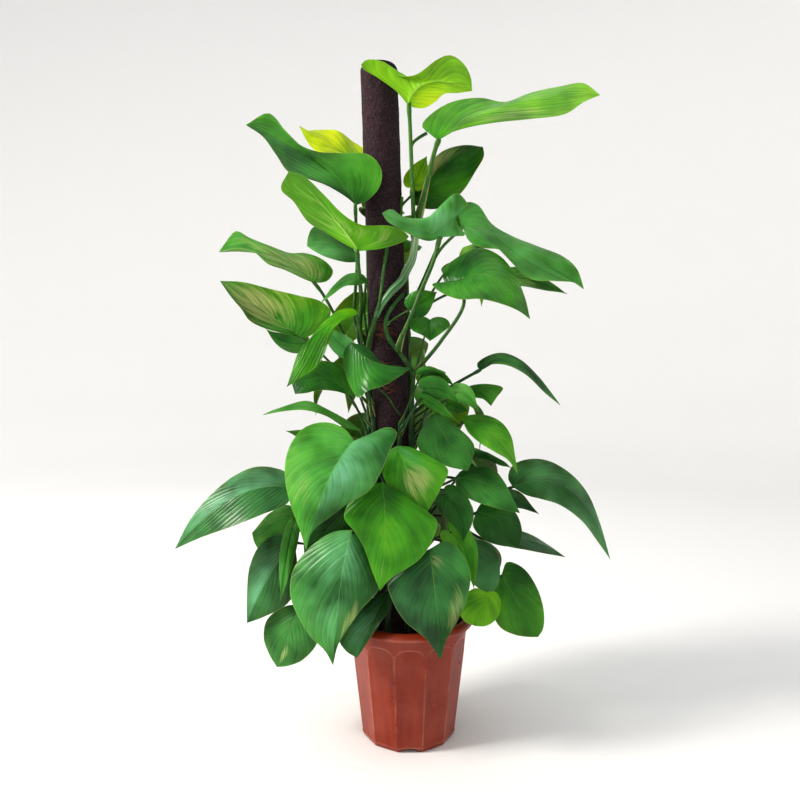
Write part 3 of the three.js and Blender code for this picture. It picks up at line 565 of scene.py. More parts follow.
def margin_point(shares):
    """A plain blade's outline: share of the half width, and share of the length."""
    lobe = bezier(LOBE, np.clip(shares / LOBE_SHARE, 0, 1))
    flank = bezier(FLANK, np.clip((shares - LOBE_SHARE) / (1 - LOBE_SHARE), 0, 1))
    return np.where((shares < LOBE_SHARE)[:, None], lobe, flank)


def leaf_frame(leaf, shares):
    """Points of the midrib with its direction, upper face and side there."""
    base, mid, tip = leaf["base"], leaf["mid"], leaf["tip"]
    control = 2 * mid - (base + tip) / 2
    inside = np.clip(shares, 0, 1)
    t = inside[:, None]
    along = unit((1 - t) * (control - base) + t * (tip - control))
    point = bezier((base, control, tip), inside)
    point = point + along * ((shares - inside) * np.linalg.norm(tip - base))[:, None]
    to_eye = unit(leaf["eye"] - mid)
    face = unit(to_eye - along * (along @ to_eye)[:, None])
    turn = math.radians(leaf["roll"])
    face = face * math.cos(turn) - np.cross(along, face) * math.sin(turn)
    return point, along, face, np.cross(along, face)


def blade_sheet(leaf, flank):
    """Half of a blade's middle surface, rows from sinus to tip and columns from the rib."""
    row = np.linspace(0, 1, BLADE_ROWS + 1)
    belly = np.sin(math.pi * row)
    rib = row ** leaf["sweep"]
    sheet = np.zeros((BLADE_ROWS + 1, BLADE_COLUMNS + 1, 3))
    margin = margin_point(row)
    edge = resample(leaf["left"] if flank < 0 else leaf["right"], row) if "left" in leaf else None
    half = leaf["width"] / 2
    for column, out in enumerate(np.linspace(0, 1, BLADE_COLUMNS + 1) ** 1.25):
        ripple = BLADE_WAVE * out ** 2 * np.sin(9 * row + 2.1 * flank + leaf["width"] / MM) * belly
        if edge is not None:
            point, _, face, _ = leaf_frame(leaf, rib)
            reach = np.linalg.norm(edge - point, axis=1)
            rise = ripple - BLADE_DISH * reach * out * (1 - out)
            middle = point + (edge - point) * out
        else:
            point, _, face, side = leaf_frame(leaf, rib + (margin[:, 1] - rib) * out ** 1.3)
            reach = margin[:, 0] * half * out
            rise = math.sin(BLADE_FOLD) * reach + BLADE_CURL * (reach / half) ** 2 + ripple
            middle = point + side * (flank * reach * math.cos(BLADE_FOLD))[:, None]
        lane = row - 0.3 * out ** 1.2
        quilt = np.sin(2 * math.pi * VEIN_COUNT * lane) * belly
        quilt *= np.minimum(1, leaf["sweep"] * row ** (leaf["sweep"] - 1))
        rise = rise + (0.24 * reach * belly + 0.013 * np.minimum(reach, 0.05) * quilt) * out * (1 - out)
        groove = -0.9 * MM * np.exp(-(out * 14) ** 2) * np.sin(math.pi * np.clip(row, 0.02, 0.98))
        sheet[:, column] = middle + face * (rise + groove)[:, None]
    return sheet


def blade_mesh(leaf):
    """Both faces of a blade and its margin: the mesh, leaf coordinates and the lower face."""
    columns = 2 * BLADE_COLUMNS + 1
    sheet = np.concatenate([blade_sheet(leaf, -1)[:, :0:-1], blade_sheet(leaf, 1)], axis=1)
    normal = np.cross(np.gradient(sheet, axis=1), np.gradient(sheet, axis=0))
    normal[0] = normal[1]
    normal[-1] = normal[-2]
    normal = unit(normal + 1e-12)
    spread = np.abs(np.linspace(-1, 1, columns))
    row = np.linspace(0, 1, BLADE_ROWS + 1)
    keel = 1.4 * MM * np.outer((1 - row) ** 0.6, np.exp(-(spread * 9) ** 2))
    half = BLADE_THICKNESS / 2 * MM * (1 - 0.5 * spread ** 4)
    upper = (sheet + normal * np.broadcast_to(half, keel.shape)[..., None]).reshape(-1, 3)
    lower = (sheet - normal * (half + keel)[..., None]).reshape(-1, 3)
    below = len(upper)
    faces = grid_faces(BLADE_ROWS + 1, columns)
    faces += [face[::-1] for face in grid_faces(BLADE_ROWS + 1, columns, start=below)]
    for column, turn in ((0, 1), (columns - 1, -1)):
        for a in range(column, column + BLADE_ROWS * columns, columns):
            faces.append((a, a + columns, a + columns + below, a + below)[::turn])
    for first, turn in ((0, -1), (BLADE_ROWS * columns, 1)):
        for a in range(first, first + columns - 1):
            faces.append((a, a + 1, a + 1 + below, a + below)[::turn])
    place = np.stack(np.meshgrid(np.linspace(0, 1, columns), row), -1).reshape(-1, 2)
    under = np.repeat((0.0, 1.0), below)
    return (np.concatenate([upper, lower]), faces), np.concatenate([place, place]), under


def stalk_line(leaf, stem):
    """A leaf stalk's line, in metres, from the stem into the blade's base."""
    start = stem[np.argmin(np.abs(stem[:, 2] - leaf["at"]))] * MM
    _, along, face, _ = leaf_frame(leaf, np.zeros(1))
    end = leaf["base"] + along[0] * 2.5 * MM - face[0] * 0.6 * MM
    if leaf["via"]:
        return curve_through([start, *(seen(*point) for point in leaf["via"]), end])
    away = end - start
    rise = np.array([0, 0, np.linalg.norm(away)])
    outward = away * (1, 1, 0)
    return bezier((start, start + outward * 0.4 + rise * 0.28,
                   end - outward * 0.35 - rise * 0.16, end), np.linspace(0, 1, 40))


def tube(line, radii, sides=12, ridges=0.0, flat=1.0, beside=0.0):
    """A closed tube along a line in metres, with lengthways ridges; it can be flattened
    across, and run beside the line by a share of its radius."""
    direction = unit(np.gradient(line, axis=0))
    angles = np.linspace(0, 2 * math.pi, sides, endpoint=False)
    across = unit(np.cross(direction[0], (0.3, 0.9, 0.2)))
    rings = []
    for centre, ahead, radius in zip(line, direction, radii):
        across = unit(across - ahead * (across @ ahead))
        over = np.cross(ahead, across) * flat
        spread = radius * (1 + ridges * np.cos(4 * angles))
        rings.append(centre + np.outer(spread * np.cos(angles) + beside * radius, across)
                     + np.outer(spread * np.sin(angles), over))
    return np.concatenate(rings), capped_faces(len(rings), sides)


# One entry for each leaf, by how it is seen. A blade's own look follows its outline:
# tone runs from dark (0) to fresh yellow-green (1); it is partly the leaf's own green and
# partly painted light and shade that sets how bright each leaf looks as it is lit. It changes
# by fade from base to tip and by side from the midrib to the right margin; side is partly the
# halves' own colour and partly painted light and shade, one half of the folded blade lit and
# the other shaded. The bluish sheen amount is a painted reflection of the sky. Patches of
# sheen (painted reflection) and cream have their middle across (-1 left margin, 1 right
# margin) and along the blade, their reach across and along, and a strength; each keeps to one
# side of the midrib. wing is the share of the stalk that its papery sheath follows, thick the
# stalk's own radius and via the points that it passes.
LEAF_DEFAULTS = dict(roll=0, sweep=2, width=0, thick=None, via=(), eye=eye_at(0), wing=0.3,
                     fade=0, side=0, film=0.1, sheen=(), cream=())


def drawn(at, base, mid, tip, left, right, **more):
    """A leaf by its base, middle of the midrib and tip, then its margins."""
    leaf = plain(at, base, mid, tip, 0, **more)
    for name, side in (("left", left), ("right", right)):
        leaf[name] = curve_through([leaf["base"], *(seen(*point) for point in side), leaf["tip"]])
    return leaf


def plain(at, base, mid, tip, width, roll=0, **more):
    """A leaf of the plain outline, by its midrib, its width and the roll of its face."""
    return dict(LEAF_DEFAULTS, at=at, base=seen(*base), mid=seen(*mid), tip=seen(*tip),
                width=width * MM, roll=roll, **more)


def behind(at, bearing, reach, height, tip_reach, tip_height, width, **more):
    """A leaf of the unseen side: it stands out at a bearing and hangs to its tip."""
    return dict(LEAF_DEFAULTS, at=at, eye=eye_at(bearing), width=width * MM,
                base=around(bearing, reach, height) * MM,
                mid=around(bearing + 2, (reach + tip_reach) / 2 + 12,
                           (height + tip_height) / 2 + 16) * MM,
                tip=around(bearing + 4, tip_reach, tip_height) * MM, **more)


VINES = {
  # Climbs the left side, crosses the front and goes up on the right
  "vine_01": {
    "bearing": -66,
    "route": [[-78, 400], [-80, 490], [-64, 530, 2], [-36, 560, 4], [-16, 585, 6], [8, 605, 8],
      [34, 622, 8], [52, 636, 5], [72, 654, 8], [82, 690, 13], [84, 712, 16]],
    "leaves": [
      drawn(686, [408, 105, 40], [430, 82, 55], [472, 91, 70], [[412, 107, 40], [424, 108, 42],
        [435, 102, 48], [444, 94, 54], [458, 93, 62]], [[396, 91, 42], [378, 78, 42], [361, 66, 42],
        [366, 60, 44], [384, 62, 46], [397, 75, 50], [415, 75, 60], [436, 60, 75], [450, 55, 82],
        [464, 64, 82], [471, 78, 76]], thick=3, roll=180, sweep=1.3, tone=0.85, side=-0.15, film=0.0),
      drawn(708, [438, 140, 20], [505, 106, 30], [600, 95, 25], [[430, 134, 18], [422, 126, 12],
        [430, 115, 4], [452, 102, -2], [480, 98, -4], [505, 102, 0], [530, 93, 5], [562, 86, 8],
        [583, 83, 15]], [[449, 134, 26], [465, 124, 34], [495, 122, 45], [530, 119, 50], [565, 114, 45],
        [584, 102, 35]], thick=3.6, wing=0.85, tone=0.55, fade=0.25, film=0.05,
        cream=[(0.5, 0.6, 0.6, 0.25, 0.7)]),
      plain(684, [413, 186, -2], [419, 172, -4], [427, 156, -8], 34, 10, tone=0.85, film=0.0),
      drawn(664, [413, 204, -16], [445, 176, -22], [483, 147, -26], [[410, 190, -24], [424, 170, -30],
        [443, 151, -34], [464, 145, -32]], [[428, 209, -12], [446, 206, -12], [462, 192, -15],
        [475, 172, -19], [484, 156, -23]], tone=0.28, fade=0.1, film=0.0,
        cream=[(-0.8, 0.4, 0.4, 0.4, 1.3)]),
    ],
  },
  # Winds up the front of the pole from the right
  "vine_02": {
    "bearing": 44,
    "route": [[54, 400, 2], [60, 470, 5], [60, 498, 7], [34, 520, 5], [4, 544, 2], [-4, 560, 2],
      [2, 577, 2], [22, 593, 2], [48, 606, 2]],
    "leaves": [
      drawn(528, [442, 237, 62], [418, 228, 72], [382, 213, 78], [[430, 241, 62], [415, 237, 68],
        [398, 228, 72], [387, 221, 76]], [[455, 236, 60], [466, 235, 58], [457, 224, 52],
        [458, 213, 48], [468, 206, 45], [457, 193, 44], [442, 204, 50], [428, 217, 58], [404, 217, 66],
        [391, 209, 74]], thick=3.1, sweep=1.5, via=[[402, 337, 43], [411, 316, 49], [421, 291, 52],
        [433, 262, 58]], tone=0.5, film=0.45, sheen=[(0, 0.4, 1.2, 0.5, 0.5)]),
      drawn(497, [457, 284, 62], [492, 277, 78], [530, 319, 90], [[446, 284, 56], [443, 271, 48],
        [458, 257, 38], [480, 248, 34], [500, 256, 40], [515, 275, 55], [525, 298, 74]],
        [[445, 283, 66], [432, 284, 70], [440, 292, 80], [458, 299, 92], [481, 299, 102],
        [505, 305, 104], [519, 311, 100]], thick=2.6, sweep=1.6, via=[[441, 341, 45], [464, 303, 62]],
        tone=0.3, fade=0.2, film=0.05),
      plain(562, [412, 309, 45], [424, 300, 45], [437, 292, 40], 36, tone=0.3, film=0.05),
      plain(492, [430, 320, 20], [430, 331, 34], [430, 341, 48], 55, tone=0.4, film=0.2),
    ],
  },
  # Left side
  "vine_03": {
    "bearing": -120,
    "route": [[-120, 400], [-118, 500], [-116, 545]],
    "leaves": [
      drawn(541, [356, 205, 46], [318, 163, 40], [246, 125, 20], [[340, 192, 50], [315, 180, 56],
        [290, 173, 56], [276, 155, 44], [262, 136, 30]], [[368, 200, 42], [380, 186, 36],
        [381, 168, 30], [368, 154, 28], [340, 153, 30], [318, 152, 34], [300, 145, 34], [285, 130, 24],
        [268, 113, 14]], thick=2.4, via=[[356, 325, -2], [357, 262, 26]], tone=0.34, side=0.12,
        film=0.12),
      drawn(537, [366, 168, -42], [333, 146, -50], [299, 126, -58], [[355, 172, -38], [330, 159, -40],
        [311, 147, -48]], [[367, 152, -50], [352, 141, -58], [338, 131, -62], [318, 130, -62],
        [305, 130, -60]], tone=1.05, fade=0.1, film=0),
      drawn(528, [358, 251, 58], [326, 208, 62], [289, 171, 66], [[385, 248, 58], [409, 237, 60],
        [392, 226, 66], [362, 225, 72], [345, 216, 76], [323, 194, 80], [305, 177, 76]],
        [[341, 242, 54], [325, 232, 50], [308, 222, 46], [293, 201, 48], [281, 189, 54]], thick=2.9,
        roll=180, via=[[359, 340, 2], [361, 300, 26]], tone=0.4, film=0.0,
        cream=[(0.3, 0.5, 0.8, 0.5, 0.6), (-0.3, 0.5, 0.8, 0.5, 0.6)]),
      drawn(532, [358, 262, 0], [334, 247, -2], [307, 246, -6], [[345, 262, 10], [326, 257, 12],
        [314, 251, 6]], [[352, 246, -12], [332, 232, -22], [314, 227, -22], [308, 237, -14]], tone=0.35,
        film=0.35),
      drawn(480, [314, 283, 22], [275, 257, 28], [219, 252, 30], [[302, 278, 36], [285, 270, 44],
        [268, 264, 48], [254, 252, 46], [238, 248, 40]], [[327, 281, 14], [333, 271, 4], [322, 259, -2],
        [305, 253, 2], [290, 253, 10], [270, 246, 18], [250, 238, 18], [236, 231, 16], [228, 239, 22]],
        thick=2.5, tone=0.4, film=0.2, cream=[(0.4, 0.5, 0.8, 0.5, 0.85), (-0.4, 0.5, 0.8, 0.5, 0.85)]),
      drawn(524, [368, 281, 36], [345, 280, 42], [321, 303, 48], [[360, 285, 46], [345, 286, 54],
        [332, 295, 56]], [[362, 274, 32], [348, 274, 32], [334, 285, 36]], via=[[361, 330, 0],
        [364, 302, 20]], tone=0.35, film=0.15),
      behind(182, 281, 90, 263, 132, 169, 72, tone=0.22, film=0.2),
      behind(287, 262, 80, 381, 129, 291, 76, tone=0.3),
      behind(418, 262, 85, 507, 131, 440, 53, tone=0.35, film=0.2),
    ],
  },
  # Left of the front, half way up
  "vine_04": {
    "bearing": -40,
    "route": [[-50, 400], [-54, 460]],
    "leaves": [
      drawn(450, [303, 339, 30], [262, 310, 40], [220, 281, 40], [[290, 335, 40], [264, 328, 52],
        [249, 320, 56], [242, 310, 54], [231, 297, 48]], [[318, 331, 22], [331, 312, 12], [320, 301, 6],
        [300, 296, 6], [270, 289, 14], [242, 282, 28]], tone=0.38, side=0.15,
        cream=[(0.4, 0.72, 0.7, 0.34, 1.05), (-0.4, 0.7, 0.7, 0.36, 0.95)]),
      plain(420, [305, 343, 14], [285, 341, 14], [266, 329, 10], 28, tone=0.25),
      drawn(440, [358, 314, 48], [317, 334, 70], [287, 387, 88], [[350, 318, 54], [337, 323, 62],
        [327, 336, 72], [325, 352, 78], [317, 366, 82], [300, 378, 86]], [[354, 309, 46],
        [340, 310, 50], [325, 321, 58], [311, 337, 68], [298, 353, 76], [292, 371, 82]], thick=2.2,
        tone=0.46, film=0.0),
      drawn(400, [350, 397, 45], [320, 377, 62], [295, 394, 72], [[345, 394, 52], [335, 391, 62],
        [320, 390, 72], [306, 393, 76]], [[352, 385, 40], [346, 372, 38], [335, 363, 40],
        [320, 361, 46], [302, 367, 56], [292, 379, 66]], sweep=1.6, tone=0.3),
      drawn(456, [351, 343, 62], [374, 362, 78], [411, 368, 84], [[362, 345, 60], [372, 352, 62],
        [382, 363, 70], [398, 366, 78]], [[344, 351, 62], [345, 372, 68], [351, 388, 76],
        [359, 398, 82], [368, 391, 88], [385, 385, 90], [400, 376, 88]], sweep=1.5, tone=0.15, side=0.1,
        film=0.05),
      plain(446, [352, 352, 28], [336, 340, 20], [322, 322, 14], 30, 10, tone=0.3, film=0.3),
      drawn(374, [361, 431, 30], [312, 406, 38], [263, 415, 42], [[346, 428, 34], [326, 416, 40],
        [304, 410, 46], [285, 411, 46]], [[350, 422, 24], [330, 411, 24], [308, 401, 28],
        [288, 405, 34]], tone=0.5, film=0.35),
    ],
  },
  # Low on the left
  "vine_05": {
    "bearing": -90,
    "route": [[-94, 370]],
    "leaves": [
      drawn(330, [290, 488, 22], [235, 497, 38], [175, 549, 34], [[288, 503, 40], [263, 514, 54],
        [233, 526, 56], [200, 538, 46]], [[291, 476, 10], [275, 468, 0], [255, 467, -2], [234, 476, 4],
        [210, 496, 16], [190, 520, 28]], tone=0.15, fade=0.1, film=0.2,
        sheen=[(0.4, 0.65, 0.6, 0.3, 0.8)]),
      drawn(296, [298, 512, -6], [275, 522, -2], [252, 533, 0], [[297, 526, 0], [284, 536, 6],
        [262, 552, 8], [255, 544, 4]], [[288, 505, -14], [270, 513, -12]], tone=0.42, film=0.3),
      drawn(270, [294, 540, 18], [268, 578, 22], [247, 623, 26], [[297, 562, 22], [297, 588, 28],
        [285, 606, 32], [264, 617, 30]], [[278, 534, 10], [260, 545, 8], [250, 566, 10],
        [247, 597, 18]], tone=0.12, fade=0.1, film=0.2, sheen=[(0.3, 0.75, 0.6, 0.3, 0.7)]),
      plain(300, [293, 527, 40], [286, 562, 46], [281, 602, 50], 22, tone=0.45, film=0.3),
      drawn(232, [300, 605, 26], [288, 636, 32], [277, 667, 36], [[313, 614, 32], [318, 640, 40],
        [303, 660, 42], [288, 666, 40]], [[286, 606, 22], [267, 620, 18], [264, 638, 22],
        [270, 656, 30]], tone=0.28, film=0.25, cream=[(-0.3, 0.85, 0.4, 0.12, 0.9)]),
    ],
  },
  # Front, a little left of the middle
  "vine_06": {
    "bearing": -14,
    "route": [[-20, 390]],
    "leaves": [
      drawn(350, [354, 441, 96], [327, 484, 118], [306, 550, 128], [[370, 434, 92], [388, 427, 88],
        [397, 432, 90], [390, 450, 98], [381, 472, 104], [369, 491, 108], [350, 502, 114],
        [330, 517, 120], [313, 531, 126]], [[345, 429, 92], [325, 422, 90], [305, 427, 92],
        [293, 440, 96], [286, 458, 102], [285, 478, 108], [290, 503, 116], [299, 528, 124]], thick=2.4,
        sweep=1.7, tone=0.38, side=0.1, film=0.25, sheen=[(-0.25, 0.45, 0.4, 0.4, 1.0)],
        cream=[(0.6, 0.7, 0.3, 0.15, 0.6)]),
      drawn(310, [382, 482, 84], [385, 534, 102], [380, 591, 108], [[396, 490, 82], [412, 501, 82],
        [430, 514, 84], [437, 522, 88], [433, 538, 92], [421, 558, 98], [403, 571, 104],
        [390, 579, 108]], [[368, 487, 80], [352, 498, 80], [344, 517, 84], [354, 531, 90],
        [364, 548, 96], [372, 571, 104]], thick=2.4, sweep=1.7, tone=0.42, fade=0.2, film=0.05,
        cream=[(0.15, 0.88, 0.4, 0.12, 0.6)]),
      drawn(250, [352, 530, 74], [340, 590, 98], [333, 665, 104], [[363, 540, 72], [373, 560, 76],
        [379, 588, 84], [371, 599, 90], [361, 610, 94], [349, 627, 98], [338, 645, 102]],
        [[333, 532, 70], [310, 547, 72], [294, 568, 76], [290, 592, 84], [297, 614, 92], [311, 637, 98],
        [325, 651, 103]], thick=2.4, sweep=1.8, tone=0.28, side=0.05, film=0.2,
        sheen=[(0.3, 0.5, 0.5, 0.4, 0.5), (-0.1, 0.5, 0.4, 0.3, 0.7)], cream=[(0, 0.3, 0.12, 0.12, 0.6),
        (-0.85, 0.75, 0.2, 0.15, 1)]),
      drawn(290, [352, 506, 56], [330, 526, 60], [304, 556, 62], [[356, 520, 54], [350, 540, 56],
        [330, 552, 60]], [[340, 500, 58], [320, 508, 62], [305, 528, 64]], tone=0.1, film=0),
      drawn(206, [388, 592, 60], [374, 620, 84], [357, 658, 96], [[392, 601, 64], [387, 613, 78],
        [376, 629, 90], [365, 646, 96]], [[374, 597, 62], [354, 614, 72], [339, 638, 84],
        [346, 651, 92]], tone=0.12, sheen=[(0.4, 0.6, 0.4, 0.3, 0.6)]),
      drawn(364, [397, 446, 64], [410, 478, 70], [427, 513, 72], [[410, 447, 62], [430, 457, 62],
        [448, 470, 64], [440, 490, 68]], [[388, 452, 64], [382, 470, 66], [391, 490, 70],
        [408, 504, 72]], tone=0.42, fade=0.15, film=0.05, sheen=[(-0.3, 0.3, 0.3, 0.3, 0.3)],
        cream=[(-0.3, 0.72, 0.45, 0.2, 1.15), (0.25, 0.76, 0.4, 0.2, 1.0)]),
      plain(322, [330, 443, 66], [308, 436, 74], [286, 431, 78], 20, tone=0.4, film=0.2),
    ],
  },
  # Front, a little right of the middle
  "vine_07": {
    "bearing": 14,
    "route": [[20, 400], [24, 432]],
    "leaves": [
      drawn(240, [430, 549, 82], [436, 602, 104], [441, 660, 108], [[446, 541, 80], [460, 551, 80],
        [470, 572, 86], [468, 595, 94], [458, 620, 102], [446, 641, 107]], [[415, 556, 80],
        [399, 569, 82], [388, 583, 86], [392, 600, 92], [405, 621, 100], [426, 639, 106]], thick=2.4,
        sweep=1.8, tone=0.14, side=-0.1, film=0.2, cream=[(-0.2, 0.3, 0.3, 0.14, 0.75),
        (-0.8, 0.66, 0.3, 0.2, 0.8)]),
      plain(252, [450, 531, 46], [466, 553, 48], [474, 589, 54], 40, -10, tone=0.48),
      drawn(352, [432, 414, 48], [447, 440, 54], [468, 471, 60], [[441, 415, 48], [456, 426, 50],
        [474, 445, 54], [472, 460, 58]], [[424, 424, 46], [417, 443, 48], [425, 457, 52],
        [446, 466, 58]], tone=0.28, film=0.15),
      plain(290, [445, 495, 50], [460, 516, 56], [463, 542, 60], 42, tone=0.2, film=0.05),
      plain(422, [421, 398, 50], [437, 407, 54], [462, 425, 57], 20, -40, tone=0.35),
      plain(430, [421, 375, 45], [438, 375, 48], [454, 386, 50], 24, -40, tone=0.35),
      plain(412, [424, 389, 54], [441, 390, 58], [459, 402, 60], 34, -20, tone=0.3),
    ],
  },
  # Right, half way up
  "vine_08": {
    "bearing": 70,
    "route": [[76, 400], [78, 440]],
    "leaves": [
      drawn(370, [463, 421, 40], [495, 438, 52], [518, 474, 62], [[466, 416, 34], [485, 415, 30],
        [501, 422, 34], [511, 436, 44], [515, 456, 54]], [[468, 432, 50], [480, 443, 58],
        [495, 452, 64], [508, 460, 66]], tone=0.5),
      drawn(320, [455, 478, 32], [488, 486, 44], [520, 513, 52], [[461, 471, 26], [478, 467, 24],
        [493, 469, 28], [505, 483, 38], [513, 499, 46]], [[458, 491, 42], [474, 501, 50],
        [493, 507, 54], [509, 511, 55]], tone=0.3, film=0.2),
      plain(352, [476, 455, 4], [495, 460, 6], [511, 468, 6], 18, -50, tone=0.2),
      plain(412, [447, 404, 26], [457, 407, 28], [468, 411, 28], 24, -20, tone=0.4),
      plain(424, [455, 393, 42], [467, 397, 46], [479, 413, 46], 28, -20, tone=0.5, film=0.35),
      drawn(434, [464, 391, 2], [482, 393, 4], [491, 406, 6], [[470, 386, -2], [488, 384, -2],
        [503, 388, 0], [497, 397, 4]], [[472, 397, 6], [483, 399, 8]], tone=0.4),
      drawn(290, [476, 512, 6], [500, 522, 12], [519, 547, 14], [[482, 503, 0], [500, 504, 2],
        [515, 512, 8], [522, 530, 12]], [[473, 526, 14], [485, 540, 18], [503, 546, 18]], tone=0.15,
        film=0.05),
    ],
  },
  # Low on the right
  "vine_09": {
    "bearing": 93,
    "route": [[96, 360]],
    "leaves": [
      drawn(340, [513, 487, -4], [570, 490, 12], [610, 559, 18], [[508, 478, -12], [513, 465, -22],
        [530, 459, -28], [549, 461, -26], [571, 474, -16], [588, 494, -4], [600, 523, 8]],
        [[526, 495, 10], [541, 499, 24], [560, 505, 36], [581, 520, 38], [598, 542, 30]], tone=0.22,
        film=0.3),
      drawn(290, [500, 538, -14], [533, 541, -8], [565, 557, -4], [[506, 529, -26], [527, 533, -26],
        [547, 544, -18]], [[504, 545, 4], [527, 550, 12], [548, 554, 8]], tone=0.15, film=0.35),
      plain(322, [505, 497, -18], [520, 502, -14], [539, 514, -10], 28, -30, tone=0.15, film=0.3),
      drawn(260, [469, 544, 34], [484, 566, 40], [491, 594, 44], [[480, 540, 32], [495, 549, 32],
        [500, 568, 36], [498, 585, 40]], [[466, 556, 38], [468, 575, 42], [478, 588, 45]], tone=0.16,
        film=0.25),
      drawn(206, [486, 592, 46], [481, 608, 56], [475, 626, 62], [[496, 592, 44], [501, 604, 48],
        [497, 618, 56], [486, 626, 60]], [[475, 588, 48], [464, 596, 52], [459, 609, 56],
        [464, 621, 60]], tone=0.66, film=0.05),
      drawn(232, [502, 574, 20], [517, 602, 32], [538, 637, 34], [[507, 562, 12], [523, 568, 12],
        [537, 588, 18], [544, 612, 26], [543, 629, 32]], [[494, 590, 24], [492, 610, 32],
        [500, 627, 38], [516, 635, 40], [529, 637, 38]], tone=0.32, film=0.05),
    ],
  },
  # Right side, towards the back
  "vine_10": {
    "bearing": 118,
    "route": [[116, 400], [112, 600], [110, 645]],
    "leaves": [
      drawn(560, [462, 226, 12], [515, 246, 28], [584, 289, 40], [[459, 212, 2], [467, 202, -8],
        [478, 205, -10], [492, 224, 0], [512, 236, 8], [537, 246, 14], [564, 257, 24], [577, 269, 32]],
        [[470, 242, 26], [484, 248, 36], [500, 250, 44], [515, 266, 50], [531, 279, 52], [555, 281, 50],
        [576, 283, 44]], thick=2.4, via=[[417, 310, -12], [427, 276, -8], [440, 250, 0]], tone=0.36,
        film=0.25),
      plain(582, [508, 276, -12], [535, 281, -8], [567, 294, -4], 30, -30, via=[[446, 295, -16],
        [482, 284, -16]], tone=0.34, film=0.2, cream=[(0.4, 0.5, 0.6, 0.5, 0.6),
        (-0.4, 0.5, 0.5, 0.5, 0.5)]),
      drawn(440, [480, 371, -4], [514, 359, 4], [560, 405, 12], [[477, 364, -8], [490, 355, -14],
        [504, 353, -14], [521, 360, -10], [539, 377, 0], [550, 391, 6]], [[487, 367, 4], [498, 362, 12],
        [511, 365, 18], [528, 376, 22], [544, 392, 20]], thick=2.4, tone=0.2, film=0.25),
      behind(202, 95, 88, 250, 135, 154, 74, tone=0.2, film=0.3),
      behind(274, 106, 88, 365, 135, 276, 70, tone=0.32),
      behind(390, 98, 67, 468, 104, 391, 63, tone=0.26, film=0.2),
      behind(586, 109, 69, 724, 109, 642, 62, tone=0.4),
    ],
  },
  # The back is as leafy as the front
  "vine_11": {
    "bearing": 146,
    "route": [[146, 420], [142, 600], [138, 745]],
    "leaves": [
      behind(180, 122, 100, 262, 148, 160, 88, tone=0.35, film=0.2, cream=[(-0.6, 0.5, 0.3, 0.2, 0.4)]),
      behind(230, 150, 84, 318, 150, 190, 100, tone=0.23),
      behind(290, 126, 88, 392, 160, 290, 92, tone=0.32),
      behind(360, 154, 84, 470, 160, 370, 96, tone=0.42, film=0.0, cream=[(-0.3, 0.6, 0.3, 0.2, 0.5)]),
      behind(552, 128, 87, 665, 152, 605, 71, tone=0.45, film=0.0, cream=[(0.4, 0.7, 0.3, 0.2, 0.7)]),
      behind(484, 163, 87, 513, 135, 445, 58, tone=0.41, film=0.2),
      behind(735, 142, 56, 782, 118, 800, 60, tone=0.26, film=0.3),
    ],
  },
  "vine_12": {
    "bearing": 178,
    "route": [[178, 420], [184, 560], [186, 650]],
    "leaves": [
      behind(190, 178, 96, 270, 152, 162, 100, tone=0.41, film=0.2),
      behind(250, 194, 104, 350, 176, 240, 98, tone=0.22, film=0.0),
      behind(330, 182, 100, 440, 172, 330, 94, tone=0.17, film=0.0, cream=[(-0.5, 0.3, 0.3, 0.2, 0.6)]),
      behind(430, 184, 96, 555, 160, 455, 84, tone=0.22, cream=[(-0.7, 0.5, 0.3, 0.2, 0.5)]),
      behind(600, 186, 72, 715, 128, 650, 74, tone=0.39, cream=[(0.6, 0.6, 0.3, 0.2, 0.8)]),
    ],
  },
  "vine_13": {
    "bearing": 212,
    "route": [[214, 420], [208, 600], [206, 660]],
    "leaves": [
      behind(180, 250, 100, 262, 148, 165, 88, tone=0.22),
      behind(240, 220, 84, 318, 150, 205, 92, tone=0.42),
      behind(300, 240, 88, 398, 158, 300, 88, tone=0.15, cream=[(-0.3, 0.7, 0.3, 0.2, 0.8)]),
      behind(350, 216, 84, 430, 150, 322, 84, tone=0.20),
      behind(411, 222, 69, 520, 128, 440, 63, tone=0.50, film=0.3),
      behind(500, 222, 86, 590, 150, 520, 80, tone=0.45, cream=[(-0.4, 0.5, 0.3, 0.2, 0.6)]),
      behind(640, 208, 64, 742, 120, 742, 70, tone=0.19, film=0.2),
    ],
  },
}


def swollen(shares, radius):
    """A stalk's radius: a wide sheath at its foot and a joint just below the blade."""
    return radius * (1 + 0.55 * np.exp(-(shares / 0.07) ** 2) - 0.18 * shares
                     + 0.28 * np.exp(-((shares - 0.95) / 0.035) ** 2))


def patched(patches, across, down):
    """The strength of soft-edged patches, each on its own side of the midrib."""
    total = np.zeros(len(across))
    for middle, row, reach, length, strength in patches:
        spot = np.exp(-((across - middle) / reach) ** 2 - ((down - row) / length) ** 2)
        total += np.where(across * middle >= 0, strength * spot, 0)
    return total


